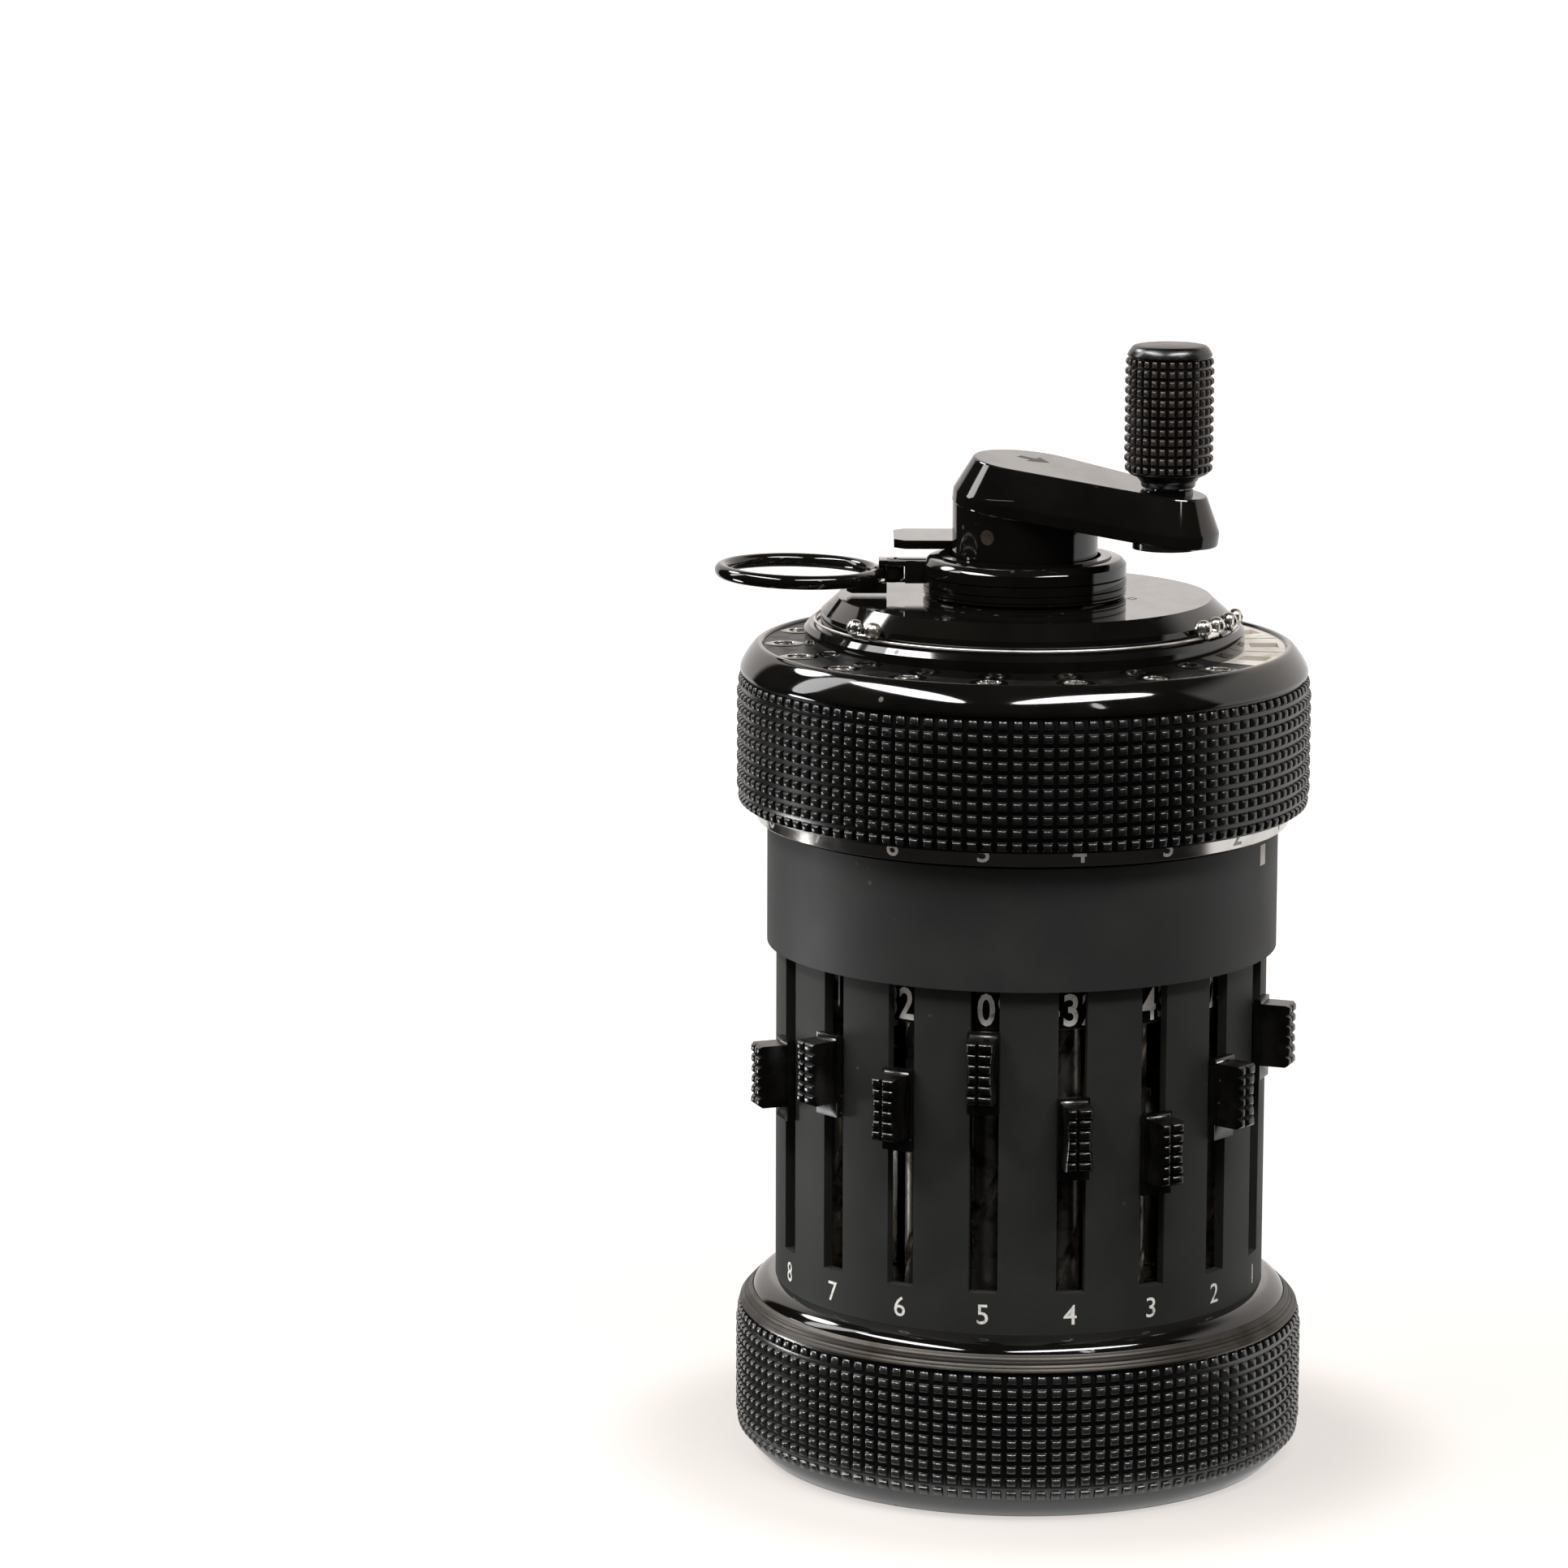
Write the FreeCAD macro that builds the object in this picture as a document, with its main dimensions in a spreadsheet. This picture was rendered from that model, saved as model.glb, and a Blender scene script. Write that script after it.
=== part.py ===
import FreeCAD, Part
import math
import os
import re
import Sketcher

# Pocket mechanical calculator: a drum-shaped adding machine with eight setting sliders,
# a lifting and turning carriage of number dials on top, and a crank on the main shaft.
# The machine axis is Z and the base stands on Z = 0. The setting side faces -Y, and an
# azimuth is counted from -Y towards +X. Lengths are millimetres and angles are degrees.

PLACES = 8
RESULT_DIALS = 11
COUNTER_DIALS = 6
PINION_TEETH = 6
CROWN_TEETH = 8

SIZES = {
    # clearances
    "running_fit": (0.06, "radial play of a shaft in its bearing"),
    "slide_gap": (0.15, "play between sliding faces"),
    "turn_gap": (0.3, "play between faces that turn past each other"),
    "mesh_gap": (0.4, "play between the drum's teeth and the pinions, and round the number rolls"),
    # layout round the machine axis, from the drum out to the knurled rings
    "first_place_angle": (70.0, "azimuth of the units slot"),
    "place_step": (20.0, "angle between neighbouring places"),
    "drum_radius": (9.0, "stepped drum under its teeth"),
    "tooth_height": (1.6, "drum tooth"),
    "pinion_tip": (2.0, "pinion, over its teeth"),
    "shaft_distance": (5.4, "drive shaft to setting shaft"),
    "shell_wall": (1.0, "outer shell"),
    "grip_reach": (3.7, "knurled rings, outside the shell"),
    # base ring and bottom cover
    "foot_inset": (2.6, "foot, inside the knurl"),
    "foot_width": (1.5, "flat ring that the machine stands on"),
    "foot_flare": (2.2, "height of the flare over the foot"),
    "base_grip_height": (11.2, "base knurl"),
    "base_bevel": (1.4, "bevel over the base knurl, along the radius"),
    "base_bevel_height": (1.6, "that bevel"),
    "base_lip": (1.95, "bright lip over the bevel, outside the shell"),
    "base_lip_height": (0.55, "that lip"),
    "base_neck_height": (1.25, "base ring over its lip"),
    "flange_width": (3.8, "inner flange that carries the shell"),
    "flange_thickness": (1.8, "that flange"),
    "cover_thickness": (1.5, "bottom cover"),
    "cover_recess": (0.5, "bottom cover's height over the floor"),
    # shell with its slots, and the sleeve round its head
    "slot_width": (2.65, "setting slots"),
    "slot_play": (0.8, "slot below a slider's lowest place"),
    "slot_cover": (0.3, "head of the slots behind the sleeve"),
    "band_thickness": (0.86, "sleeve over the slots"),
    "band_height": (11.25, "that sleeve"),
    "shell_rise": (6.0, "shell above the foot of the carriage knurl"),
    # bearing plates inside the shell
    "plate_thickness": (1.5, "bearing plates"),
    "plate_rise": (0.2, "lower bearing plate over the base ring"),
    "roll_ring_land": (2.9, "ring over the number rolls, inside their axes"),
    "guide_wall": (2.5, "tube that the carriage rides on"),
    "stop_width": (1.5, "stop flange on top of the tube"),
    "stop_thickness": (1.0, "stop flange"),
    # setting shafts with their number rolls
    "setting_radius": (1.7, "setting shaft"),
    "journal_radius": (0.8, "ends of the shafts"),
    "roll_rise": (3.0, "number roll over a slider that is set to nought"),
    "roll_height": (3.9, "number roll"),
    "groove_depth": (0.6, "helical groove"),
    "groove_opening": (2.2, "helical groove, measured along the shaft"),
    "groove_margin": (3.6, "groove below a slider's lowest place"),
    "groove_rise": (2.4, "groove above a slider's highest place"),
    # sliders
    "slider_rise": (5.1, "lowest slider place over the lower bearing plate"),
    "digit_travel": (2.0, "slider travel for one digit"),
    "finger_reach": (3.4, "finger piece, outside the shell"),
    "finger_width": (2.5, "head and foot of the finger piece"),
    "finger_waist": (2.1, "middle of the finger piece"),
    "finger_height": (5.8, "finger piece"),
    "finger_round": (0.4, "rounding of its front corners"),
    "skirt_width": (2.9, "plate behind the finger piece"),
    "skirt_depth": (0.65, "that plate"),
    "skirt_above": (0.25, "that plate over the finger piece"),
    "skirt_below": (1.5, "that plate under the finger piece"),
    "neck_height": (4.6, "neck through the slot"),
    "eye_width": (5.1, "block round the setting shaft"),
    "eye_height": (2.4, "that block"),
    "follower_side": (0.6, "square pin that runs in the groove"),
    "follower_angle": (235.8, "azimuth of the pin on the setting shaft"),
    "fork_width": (3.6, "fork that carries the pinion"),
    "fork_thickness": (1.0, "that fork"),
    "fork_tip": (1.0, "fork, inside the drive shaft's axis"),
    # pinions on their square drive shafts
    "drive_side": (1.2, "square drive shaft"),
    "crown_radius": (1.8, "crown wheel"),
    "crown_thickness": (1.0, "crown wheel"),
    "crown_rise": (1.6, "top of the crown wheels over the shell"),
    "gear_tooth": (0.5, "teeth of pinions and crown wheels"),
    "pinion_thickness": (0.8, "toothed rim of the pinion"),
    "pinion_neck": (1.15, "neck of the pinion in the fork"),
    "pinion_collar": (1.7, "collar over the neck"),
    # main shaft, stepped drum and lifting washer
    "shaft_radius": (2.5, "main shaft"),
    "shaft_tail": (7.0, "main shaft below the lower bearing plate"),
    "shaft_seat": (1.4, "main shaft above the arm's foot"),
    "drum_foot_margin": (2.6, "drum below the lowest slider place"),
    "drum_head_margin": (0.8, "drum above the highest slider place"),
    "tooth_width": (1.3, "drum tooth"),
    "tooth_thickness": (0.7, "drum tooth, along the axis"),
    "tooth_step": (13.0, "angle between drum teeth"),
    "washer_width": (2.7, "washer that lifts with the drum"),
    # crank
    "crank_angle": (59.4, "azimuth of the crank at rest"),
    "crank_throw": (14.7, "main axis to knob axis"),
    "crank_tilt": (7.0, "fall of the arm towards the knob"),
    "hub_radius": (6.7, "hub of the crank"),
    "hub_rise": (2.0, "lower end of the hub over the guide tube"),
    "arm_rise": (3.5, "underside of the arm over the catch plate, on the main axis"),
    "arm_rim": (1.2, "upright rim of the arm"),
    "arm_crown": (3.15, "leaning part of the arm over its rim"),
    "arm_draft": (26.0, "lean of the arm's sides"),
    "arm_lip": (0.1, "edge of the arm over the hub"),
    "boss_radius": (4.6, "lower outline of the arm at the knob"),
    "boss_rise": (0.27, "seat of the knob over the arm's top"),
    "seat_rim_radius": (2.3, "seat of the knob on the arm"),
    "cross_pin_radius": (0.7, "pin through hub and shaft"),
    "cross_pin_drop": (2.0, "that pin below the arm"),
    "cross_pin_angle": (-33.0, "azimuth of that pin"),
    "nut_radius": (3.2, "nut under the arm"),
    "nut_height": (0.9, "nut under the arm"),
    "spot_depth": (0.1, "spot face of the nut"),
    "stud_radius": (1.5, "axle of the knob"),
    "stud_drop": (3.1, "top of the axle below the grip's upper edge"),
    "knob_radius": (4.05, "knurled grip"),
    "knob_neck_radius": (2.45, "foot of the knob"),
    "knob_neck_height": (1.45, "flare under the grip"),
    "knob_grip_height": (10.5, "knurled grip"),
    "knob_edge": (0.6, "rounding of the knob's top, along the radius"),
    "knob_shoulder": (0.9, "height of that rounding"),
    "knob_dome": (0.35, "height of the dome inside it"),
    # carriage ring
    "skirt_play": (0.35, "lip of the carriage round the shell"),
    "skirt_inset": (1.9, "lip of the carriage, inside its knurl"),
    "skirt_height": (1.55, "that lip"),
    "skirt_bevel": (0.4, "bevel between lip and knurl"),
    "grip_height": (12.0, "carriage knurl"),
    "rim_inset": (1.7, "top edge of the carriage ring, inside its knurl"),
    "rim_height": (2.5, "shoulder over the carriage knurl"),
    "rim_crown": (0.3, "how far that shoulder is arched"),
    "ring_wall": (2.45, "carriage ring, from knurl to bore"),
    # window plates and cone
    "window_drop": (0.3, "window plates below the rim"),
    "window_thickness": (0.4, "window plates"),
    "window_ring": (3.75, "window plates, along the radius"),
    "window_inset": (1.95, "middle of the openings, inside the plates' outer edge"),
    "window_width": (2.4, "opening over a dial"),
    "window_length": (2.6, "opening over a dial, along the radius"),
    "counter_start": (60.0, "azimuth where the counter section begins"),
    "step_bevel": (0.4, "ring inside the windows, along the radius"),
    "step_bevel_height": (0.5, "bevel of that ring"),
    "step_rise": (1.8, "groove of the decimal markers over the rim"),
    "cone_inset": (1.55, "foot of the cone, inside the windows"),
    "cone_gap": (1.1, "height of that groove"),
    "cone_slope": (1.55, "cone, along the radius"),
    "cone_height": (1.4, "cone"),
    "web_gap": (0.7, "underside of the carriage web over the crown wheels"),
    "web_thickness": (1.0, "carriage web"),
    "cup_play": (1.0, "wall round the carriage spring, inside the dials' wheels"),
    "cup_wall": (1.1, "that wall"),
    "roof_thickness": (0.9, "roof over the spring"),
    "block_play": (0.5, "ring under the cone, outside the dials' wheels"),
    # neck with the catch plate
    "neck_wall": (0.9, "neck that the clearing lever turns on"),
    "neck_rise": (3.8, "neck over the cone"),
    "neck_flange": (1.0, "flange of the neck under the roof"),
    "neck_flange_thickness": (0.7, "that flange"),
    "catch_side": (4.1, "catch plate, left of the neck"),
    "catch_front": (3.0, "catch plate, front edge behind the axis"),
    "catch_behind": (3.1, "catch plate, behind the neck"),
    "catch_root": (1.5, "catch plate, right end beside the axis"),
    "catch_corner": (1.0, "cut corners of the catch plate"),
    "catch_thickness": (0.8, "catch plate"),
    # carriage spring and its seat
    "seat_width": (2.2, "spring seat"),
    "seat_thickness": (0.8, "spring seat"),
    "spring_inset": (1.0, "middle of the spring wire, outside the guide tube"),
    "spring_wire": (0.4, "radius of the spring wire"),
    "spring_height": (3.6, "height of the spring coil"),
    "spring_room": (3.0, "stop flange over the spring"),
    # number dials
    "dial_radius": (3.15, "number dial, over its corners"),
    "axle_radius": (0.6, "dial axle"),
    "crown_play": (0.1, "drive wheel of a dial, outside the crown wheel"),
    "dial_wheel_radius": (2.1, "drive wheel on a dial axle"),
    "dial_wheel_thickness": (0.8, "that drive wheel"),
    # clearing lever and its folding ring
    "collar_wall": (1.45, "collar of the clearing lever"),
    "collar_drop": (0.2, "top of the collar below the neck"),
    "collar_bevel": (0.55, "bevel round the collar's top"),
    "lever_width": (2.6, "arm of the clearing lever"),
    "lever_rise": (0.9, "arm over the cone"),
    "lever_drop": (0.2, "arm below the collar's top"),
    "pivot_reach": (2.85, "pivot of the folding ring, outside the collar"),
    "pivot_radius": (0.6, "pivot pin of the ring"),
    "ring_outer": (7.8, "folding ring, outside"),
    "ring_thickness": (1.3, "wire of the folding ring"),
    "ring_bevel": (0.35, "bevels of the folding ring"),
    "tongue_width": (2.2, "tongue of the ring in the lever's fork"),
    "tongue_reach": (1.0, "folding ring to its pivot"),
    "shoe_inset": (0.8, "shoe under the arm, inside the cone's upper edge"),
    # decimal markers
    "marker_height": (1.5, "marker"),
    "bead_radius": (0.68, "bead of a marker"),
    "bead_step": (7.0, "angle between the two beads of a marker"),
    "bridge_height": (0.6, "bridge between the beads"),
    "marker_1_angle": (-49.5, "azimuth of the first marker"),
    "marker_2_angle": (57.0, "azimuth of the second marker"),
    "marker_3_angle": (73.0, "azimuth of the third marker"),
    # reversing lever at the back
    "reverser_angle": (170.0, "azimuth of the reversing lever"),
    "reverser_reach": (2.6, "lever, outside the shell"),
    "reverser_head": (1.8, "upper end of its slot below the setting slots"),
    "reverser_slot": (11.0, "height of its slot"),
    "reverser_play": (0.9, "slot above the lever's neck at rest"),
    "reverser_size": (5.0, "height of the lever"),
    "reverser_guide": (6.0, "width of the guide plate inside"),
    # digits that the sliders are set to
    "value_1": (0, "units"),
    "value_2": (2, "tens"),
    "value_3": (4, "hundreds"),
    "value_4": (3, "thousands"),
    "value_5": (0, "fifth place"),
    "value_6": (2, "sixth place"),
    "value_7": (1, "seventh place"),
    "value_8": (2, "eighth place"),
}

# What follows from the sizes: radii from the drum outwards, then heights from the foot upwards
FITS = {
    "drum_tip": "drum_radius + tooth_height",
    "drive_circle": "drum_tip + mesh_gap + pinion_tip",
    "setting_circle": "drive_circle + shaft_distance",
    "roll_radius": "setting_circle * sin(place_step / 2) - mesh_gap / 2",
    "shell_radius": "setting_circle + roll_radius + mesh_gap + shell_wall",
    "ring_radius": "shell_radius + grip_reach",
    "foot_radius": "ring_radius - foot_inset",
    "cover_radius": "foot_radius - foot_width",
    "flange_radius": "shell_radius - flange_width",
    "base_shoulder_radius": "ring_radius - base_bevel",
    "base_lip_radius": "shell_radius + base_lip",
    "band_radius": "shell_radius + band_thickness",
    "roll_ring_radius": "setting_circle - roll_ring_land",
    "finger_front": "shell_radius + finger_reach",
    "fork_reach": "drive_circle - fork_tip",
    "reverser_front": "shell_radius + reverser_reach",
    "guide_radius": "shaft_radius + guide_wall",
    "stop_radius": "guide_radius + stop_width",
    "washer_radius": "shaft_radius + washer_width",
    "seat_radius": "guide_radius + seat_width",
    "spring_radius": "guide_radius + spring_inset",
    "skirt_bore": "shell_radius + skirt_play",
    "skirt_radius": "ring_radius - skirt_inset",
    "rim_radius": "ring_radius - rim_inset",
    "carriage_bore": "ring_radius - ring_wall",
    "window_inner": "carriage_bore - window_ring",
    "window_circle": "carriage_bore - window_inset",
    "step_radius": "window_inner - step_bevel",
    "cone_foot_radius": "window_inner - cone_inset",
    "cone_head_radius": "cone_foot_radius - cone_slope",
    "marker_circle": "cone_foot_radius + bead_radius + running_fit",
    "dial_inner": "window_inner + turn_gap",
    "dial_outer": "carriage_bore - 3 * slide_gap",
    "dial_wheel_inner": "drive_circle + crown_radius + crown_play",
    "dial_wheel_outer": "dial_wheel_inner + dial_wheel_thickness",
    "cup_radius": "dial_wheel_inner - cup_play",
    "block_radius": "dial_wheel_outer + block_play",
    "neck_inner": "hub_radius + turn_gap",
    "neck_outer": "neck_inner + neck_wall",
    "collar_radius": "neck_outer + collar_wall",
    "ring_pivot": "collar_radius + pivot_reach",
    "ring_centre": "ring_pivot + ring_outer + tongue_reach",
    "ring_inner": "ring_outer - ring_thickness",
    "shoe_reach": "cone_head_radius - shoe_inset",
    "base_grip_head": "foot_flare + base_grip_height",
    "base_shoulder_head": "base_grip_head + base_bevel_height",
    "base_lip_head": "base_shoulder_head + base_lip_height",
    "base_height": "base_lip_head + base_neck_height",
    "shell_foot": "cover_recess + cover_thickness + flange_thickness",
    "lower_plate_foot": "base_height + plate_rise",
    "lower_plate_head": "lower_plate_foot + plate_thickness",
    "slider_nine": "lower_plate_head + slider_rise",
    "slider_zero": "slider_nine + 9 * digit_travel",
    "slot_foot": "slider_nine - neck_height / 2 - slot_play",
    "groove_foot": "slider_nine - groove_margin",
    "groove_height": "9 * digit_travel + groove_margin + groove_rise",
    "groove_lead": "10 * digit_travel",
    "groove_turn": "follower_angle - 90 - 360 * (slider_zero - groove_foot) / groove_lead",
    "drum_foot": "slider_nine - drum_foot_margin",
    "drum_head": "slider_zero + drum_head_margin",
    "pinion_drop": "fork_thickness / 2 + slide_gap + pinion_thickness / 2",
    "roll_foot": "slider_zero + roll_rise",
    "roll_head": "roll_foot + roll_height",
    "roll_ring_foot": "roll_head + mesh_gap",
    "slot_head": "roll_head + slot_cover",
    "band_foot": "roll_head",
    "band_head": "band_foot + band_height",
    "reverser_slot_head": "slot_head - reverser_head",
    "reverser_slot_foot": "reverser_slot_head - reverser_slot",
    "reverser_height": "reverser_slot_head - reverser_play - neck_height / 2",
    "skirt_foot": "band_head + turn_gap",
    "skirt_head": "skirt_foot + skirt_height",
    "grip_foot": "skirt_head + skirt_bevel",
    "grip_head": "grip_foot + grip_height",
    "rim_head": "grip_head + rim_height",
    "shell_head": "grip_foot + shell_rise",
    "drive_head": "shell_head + crown_rise",
    "web_foot": "drive_head + web_gap",
    "window_head": "rim_head - window_drop",
    "window_foot": "window_head - window_thickness",
    "dial_height": "window_foot - slide_gap - dial_radius",
    "block_foot": "dial_height + axle_radius + running_fit",
    "step_head": "rim_head + step_rise",
    "marker_foot": "step_head + turn_gap",
    "marker_head": "marker_foot + marker_height",
    "cone_foot": "step_head + cone_gap",
    "cone_head": "cone_foot + cone_height",
    "roof_foot": "cone_head - roof_thickness",
    "seat_foot": "web_foot + web_thickness + turn_gap",
    "spring_foot": "seat_foot + seat_thickness",
    "guide_head": "spring_foot + spring_height + spring_room + stop_thickness",
    "neck_head": "cone_head + neck_rise",
    "collar_head": "neck_head - collar_drop",
    "lever_foot": "cone_head + lever_rise",
    "lever_head": "collar_head - lever_drop",
    "shoe_head": "lever_foot + turn_gap",
    "ring_height": "(lever_foot + lever_head) / 2",
    "hub_foot": "guide_head + hub_rise",
    "arm_foot": "neck_head + catch_thickness + arm_rise",
    "arm_head": "arm_foot + (arm_rim + arm_crown) / cos(crank_tilt)",
    "arm_fall": "crank_throw * tan(crank_tilt)",
    "shaft_head": "arm_foot + shaft_seat",
    "cross_pin_height": "arm_foot - cross_pin_drop",
    "nut_head": "arm_foot - arm_fall + spot_depth",
    "nut_foot": "nut_head - nut_height",
    "boss_head": "arm_head - arm_fall + boss_rise",
    "knob_grip_foot": "boss_head + knob_neck_height",
    "knob_grip_head": "knob_grip_foot + knob_grip_height",
    "knob_head": "knob_grip_head + knob_shoulder + knob_dome",
    "stud_head": "knob_grip_head - stud_drop",
}


def formula(text):
    """Point each size named in the text at its cell."""
    def cell(word):
        if word[0] in SIZES:
            return f"sizes.{word[0]}"
        return f"fits.{word[0]}" if word[0] in FITS else word[0]
    return re.sub(r"[a-z]\w*", cell, text)


doc = FreeCAD.newDocument("mechanical_calculator")
sheet = doc.addObject("Spreadsheet::Sheet", "sizes")
for row, (alias, (number, note)) in enumerate(SIZES.items(), start=1):
    sheet.set(f"A{row}", note)
    sheet.set(f"B{row}", str(number))
    sheet.setAlias(f"B{row}", alias)
fits = doc.addObject("Spreadsheet::Sheet", "fits")
for row, (alias, text) in enumerate(FITS.items(), start=1):
    fits.set(f"A{row}", alias)
    fits.set(f"B{row}", "=" + formula(text).replace("fits.", ""))
    fits.setAlias(f"B{row}", alias)
doc.recompute()


def value(text):
    return float(sheet.evalExpression(formula(text)))


def bind(thing, prop, text):
    thing.setExpression(prop, formula(text))


def new_body(label):
    body = doc.addObject("PartDesign::Body", label)
    body.Label = label
    return body


def new_sketch(body, role="XZ_Plane", lift="0", tilt="0", axis=(0, 1, 0)):
    """A sketch on one of the body's own planes, lifted off it and then tilted."""
    sketch = body.newObject("Sketcher::SketchObject", "sketch")
    plane = next(part for part in body.Origin.OriginFeatures if part.Role == role)
    sketch.AttachmentSupport = [(plane, "")]
    sketch.MapMode = "FlatFace"
    turn = FreeCAD.Rotation(FreeCAD.Vector(*axis), 1)
    sketch.AttachmentOffset = FreeCAD.Placement(FreeCAD.Vector(0, 0, 0), turn)
    bind(sketch, ".AttachmentOffset.Base.z", lift)
    bind(sketch, ".AttachmentOffset.Rotation.Angle", tilt)
    return sketch


def constrain(sketch, text, kind, *where):
    index = sketch.addConstraint(Sketcher.Constraint(kind, *where, value(text)))
    bind(sketch, f"Constraints[{index}]", text)


def draw_outline(sketch, corners):
    """Closed outline through corners that are given as pairs of formulas."""
    points = [FreeCAD.Vector(value(x), value(y), 0) for x, y in corners]
    for start, end in zip(points, points[1:] + points[:1]):
        sketch.addGeometry(Part.LineSegment(start, end), False)
    for line, (x, y) in enumerate(corners):
        following = (line + 1) % len(corners)
        sketch.addConstraint(Sketcher.Constraint("Coincident", line, 2, following, 1))
        constrain(sketch, x, "DistanceX", -1, 1, line, 1)
        constrain(sketch, y, "DistanceY", -1, 1, line, 1)


def draw_box(sketch, x_low, y_low, x_high, y_high):
    draw_outline(sketch, [(x_low, y_low), (x_high, y_low), (x_high, y_high), (x_low, y_high)])


def draw_circle(sketch, radius, x="0", y="0"):
    centre = FreeCAD.Vector(value(x), value(y), 0)
    circle = sketch.addGeometry(Part.Circle(centre, FreeCAD.Vector(0, 0, 1), value(radius)), False)
    constrain(sketch, radius, "Radius", circle)
    constrain(sketch, x, "DistanceX", -1, 1, circle, 3)
    constrain(sketch, y, "DistanceY", -1, 1, circle, 3)


def draw_octagon(sketch, width, x, y):
    corner = f"{width} / 2 / cos(22.5)"
    draw_outline(sketch, [(f"{x} + {corner} * cos({angle})", f"{y} + {corner} * sin({angle})")
                          for angle in (22.5 + 45 * side for side in range(8))])


def draw_gear(sketch, tip, root, teeth):
    """Outline of a small gear with pointed teeth."""
    corners = []
    for corner in range(2 * teeth):
        radius = root if corner % 2 else tip
        angle = 180 / teeth * corner
        corners.append((f"{radius} * cos({angle})", f"{radius} * sin({angle})"))
    draw_outline(sketch, corners)


def draw_link(sketch, radius, end_radius, reach):
    """Two arcs, one round the origin and one at the reach, joined by their tangents."""
    big, small, length = value(radius), value(end_radius), value(reach)
    lean = math.acos((big - small) / length)
    up = FreeCAD.Vector(0, 0, 1)
    end = FreeCAD.Vector(length, 0, 0)
    big_circle = Part.Circle(FreeCAD.Vector(0, 0, 0), up, big)
    small_circle = Part.Circle(end, up, small)
    rim = FreeCAD.Vector(math.cos(lean), math.sin(lean), 0)
    mirrored = FreeCAD.Vector(rim.x, -rim.y, 0)
    sketch.addGeometry(Part.ArcOfCircle(big_circle, lean, 2 * math.pi - lean), False)
    sketch.addGeometry(Part.ArcOfCircle(small_circle, -lean, lean), False)
    sketch.addGeometry(Part.LineSegment(rim * big, end + rim * small), False)
    sketch.addGeometry(Part.LineSegment(mirrored * big, end + mirrored * small), False)
    for first, first_end, second, second_end in ((0, 1, 2, 1), (2, 2, 1, 2), (1, 1, 3, 2), (3, 1, 0, 2)):
        sketch.addConstraint(Sketcher.Constraint("Tangent", first, first_end, second, second_end))
    sketch.addConstraint(Sketcher.Constraint("Coincident", 0, 3, -1, 1))
    sketch.addConstraint(Sketcher.Constraint("PointOnObject", 1, 3, -1))
    constrain(sketch, reach, "DistanceX", -1, 1, 1, 3)
    constrain(sketch, radius, "Radius", 0)
    constrain(sketch, end_radius, "Radius", 1)


def spin(body, sketch, angle="360"):
    feature = body.newObject("PartDesign::Revolution", "spin")
    feature.Profile = sketch
    feature.ReferenceAxis = (sketch, ["V_Axis"])
    bind(feature, "Angle", angle)
    return feature


def pad(body, sketch, length, symmetric=False):
    feature = body.newObject("PartDesign::Pad", "pad")
    feature.Profile = sketch
    feature.SideType = "Symmetric" if symmetric else "One side"
    bind(feature, "Length", length)
    return feature


def pocket(body, sketch, length, along_normal=False, symmetric=False):
    feature = body.newObject("PartDesign::Pocket", "pocket")
    feature.Profile = sketch
    feature.SideType = "Symmetric" if symmetric else "One side"
    feature.Reversed = along_normal
    bind(feature, "Length", length)
    return feature


def repeat_round(body, feature, step, count):
    pattern = body.newObject("PartDesign::PolarPattern", "pattern")
    pattern.Originals = [feature]
    pattern.Axis = (next(part for part in body.Origin.OriginFeatures if part.Role == "Z_Axis"), [""])
    pattern.Mode = "Spacing"
    bind(pattern, "Offset", step)
    pattern.Occurrences = count
    body.Tip = pattern
    return pattern


def dress_edges(body, kind, size, wanted):
    """Fillet or chamfer the edges of the body's last feature that the test wants."""
    doc.recompute()
    base = body.Tip
    names = [f"Edge{i}" for i, edge in enumerate(base.Shape.Edges, start=1) if wanted(edge)]
    dress = body.newObject(f"PartDesign::{kind}", kind.lower())
    dress.Base = (base, names)
    bind(dress, "Radius" if kind == "Fillet" else "Size", size)


def turned(label, profile, angle="360"):
    """A body of revolution about Z, from a profile of (radius, height) formulas."""
    body = new_body(label)
    sketch = new_sketch(body)
    draw_outline(sketch, profile)
    spin(body, sketch, angle)
    return body


def joined(label, *bodies):
    """One node for solids that are fixed to each other."""
    group = doc.addObject("Part::Compound", label)
    group.Label = label
    group.Links = bodies


def place_angle(place):
    return f"(first_place_angle - {place - 1} * place_step)"


def slider_height(place):
    return f"(slider_zero - digit_travel * value_{place})"


def set_on_circle(body, circle, azimuth, height="0", turn="0"):
    """Put a body that is drawn about its own axis on a circle of the machine."""
    body.Placement = FreeCAD.Placement(FreeCAD.Vector(), FreeCAD.Rotation(FreeCAD.Vector(0, 0, 1), 1))
    bind(body, ".Placement.Base.x", f"{circle} * sin({azimuth})")
    bind(body, ".Placement.Base.y", f"-{circle} * cos({azimuth})")
    bind(body, ".Placement.Base.z", height)
    bind(body, ".Placement.Rotation.Angle", f"{azimuth} + {turn}")


def turn_about_axis(body, angle, height="0"):
    """Turn a body that is drawn about the machine axis, and lift it."""
    body.Placement = FreeCAD.Placement(FreeCAD.Vector(), FreeCAD.Rotation(FreeCAD.Vector(0, 0, 1), 1))
    bind(body, ".Placement.Base.z", height)
    bind(body, ".Placement.Rotation.Angle", angle)


# Base ring and bottom cover

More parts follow.
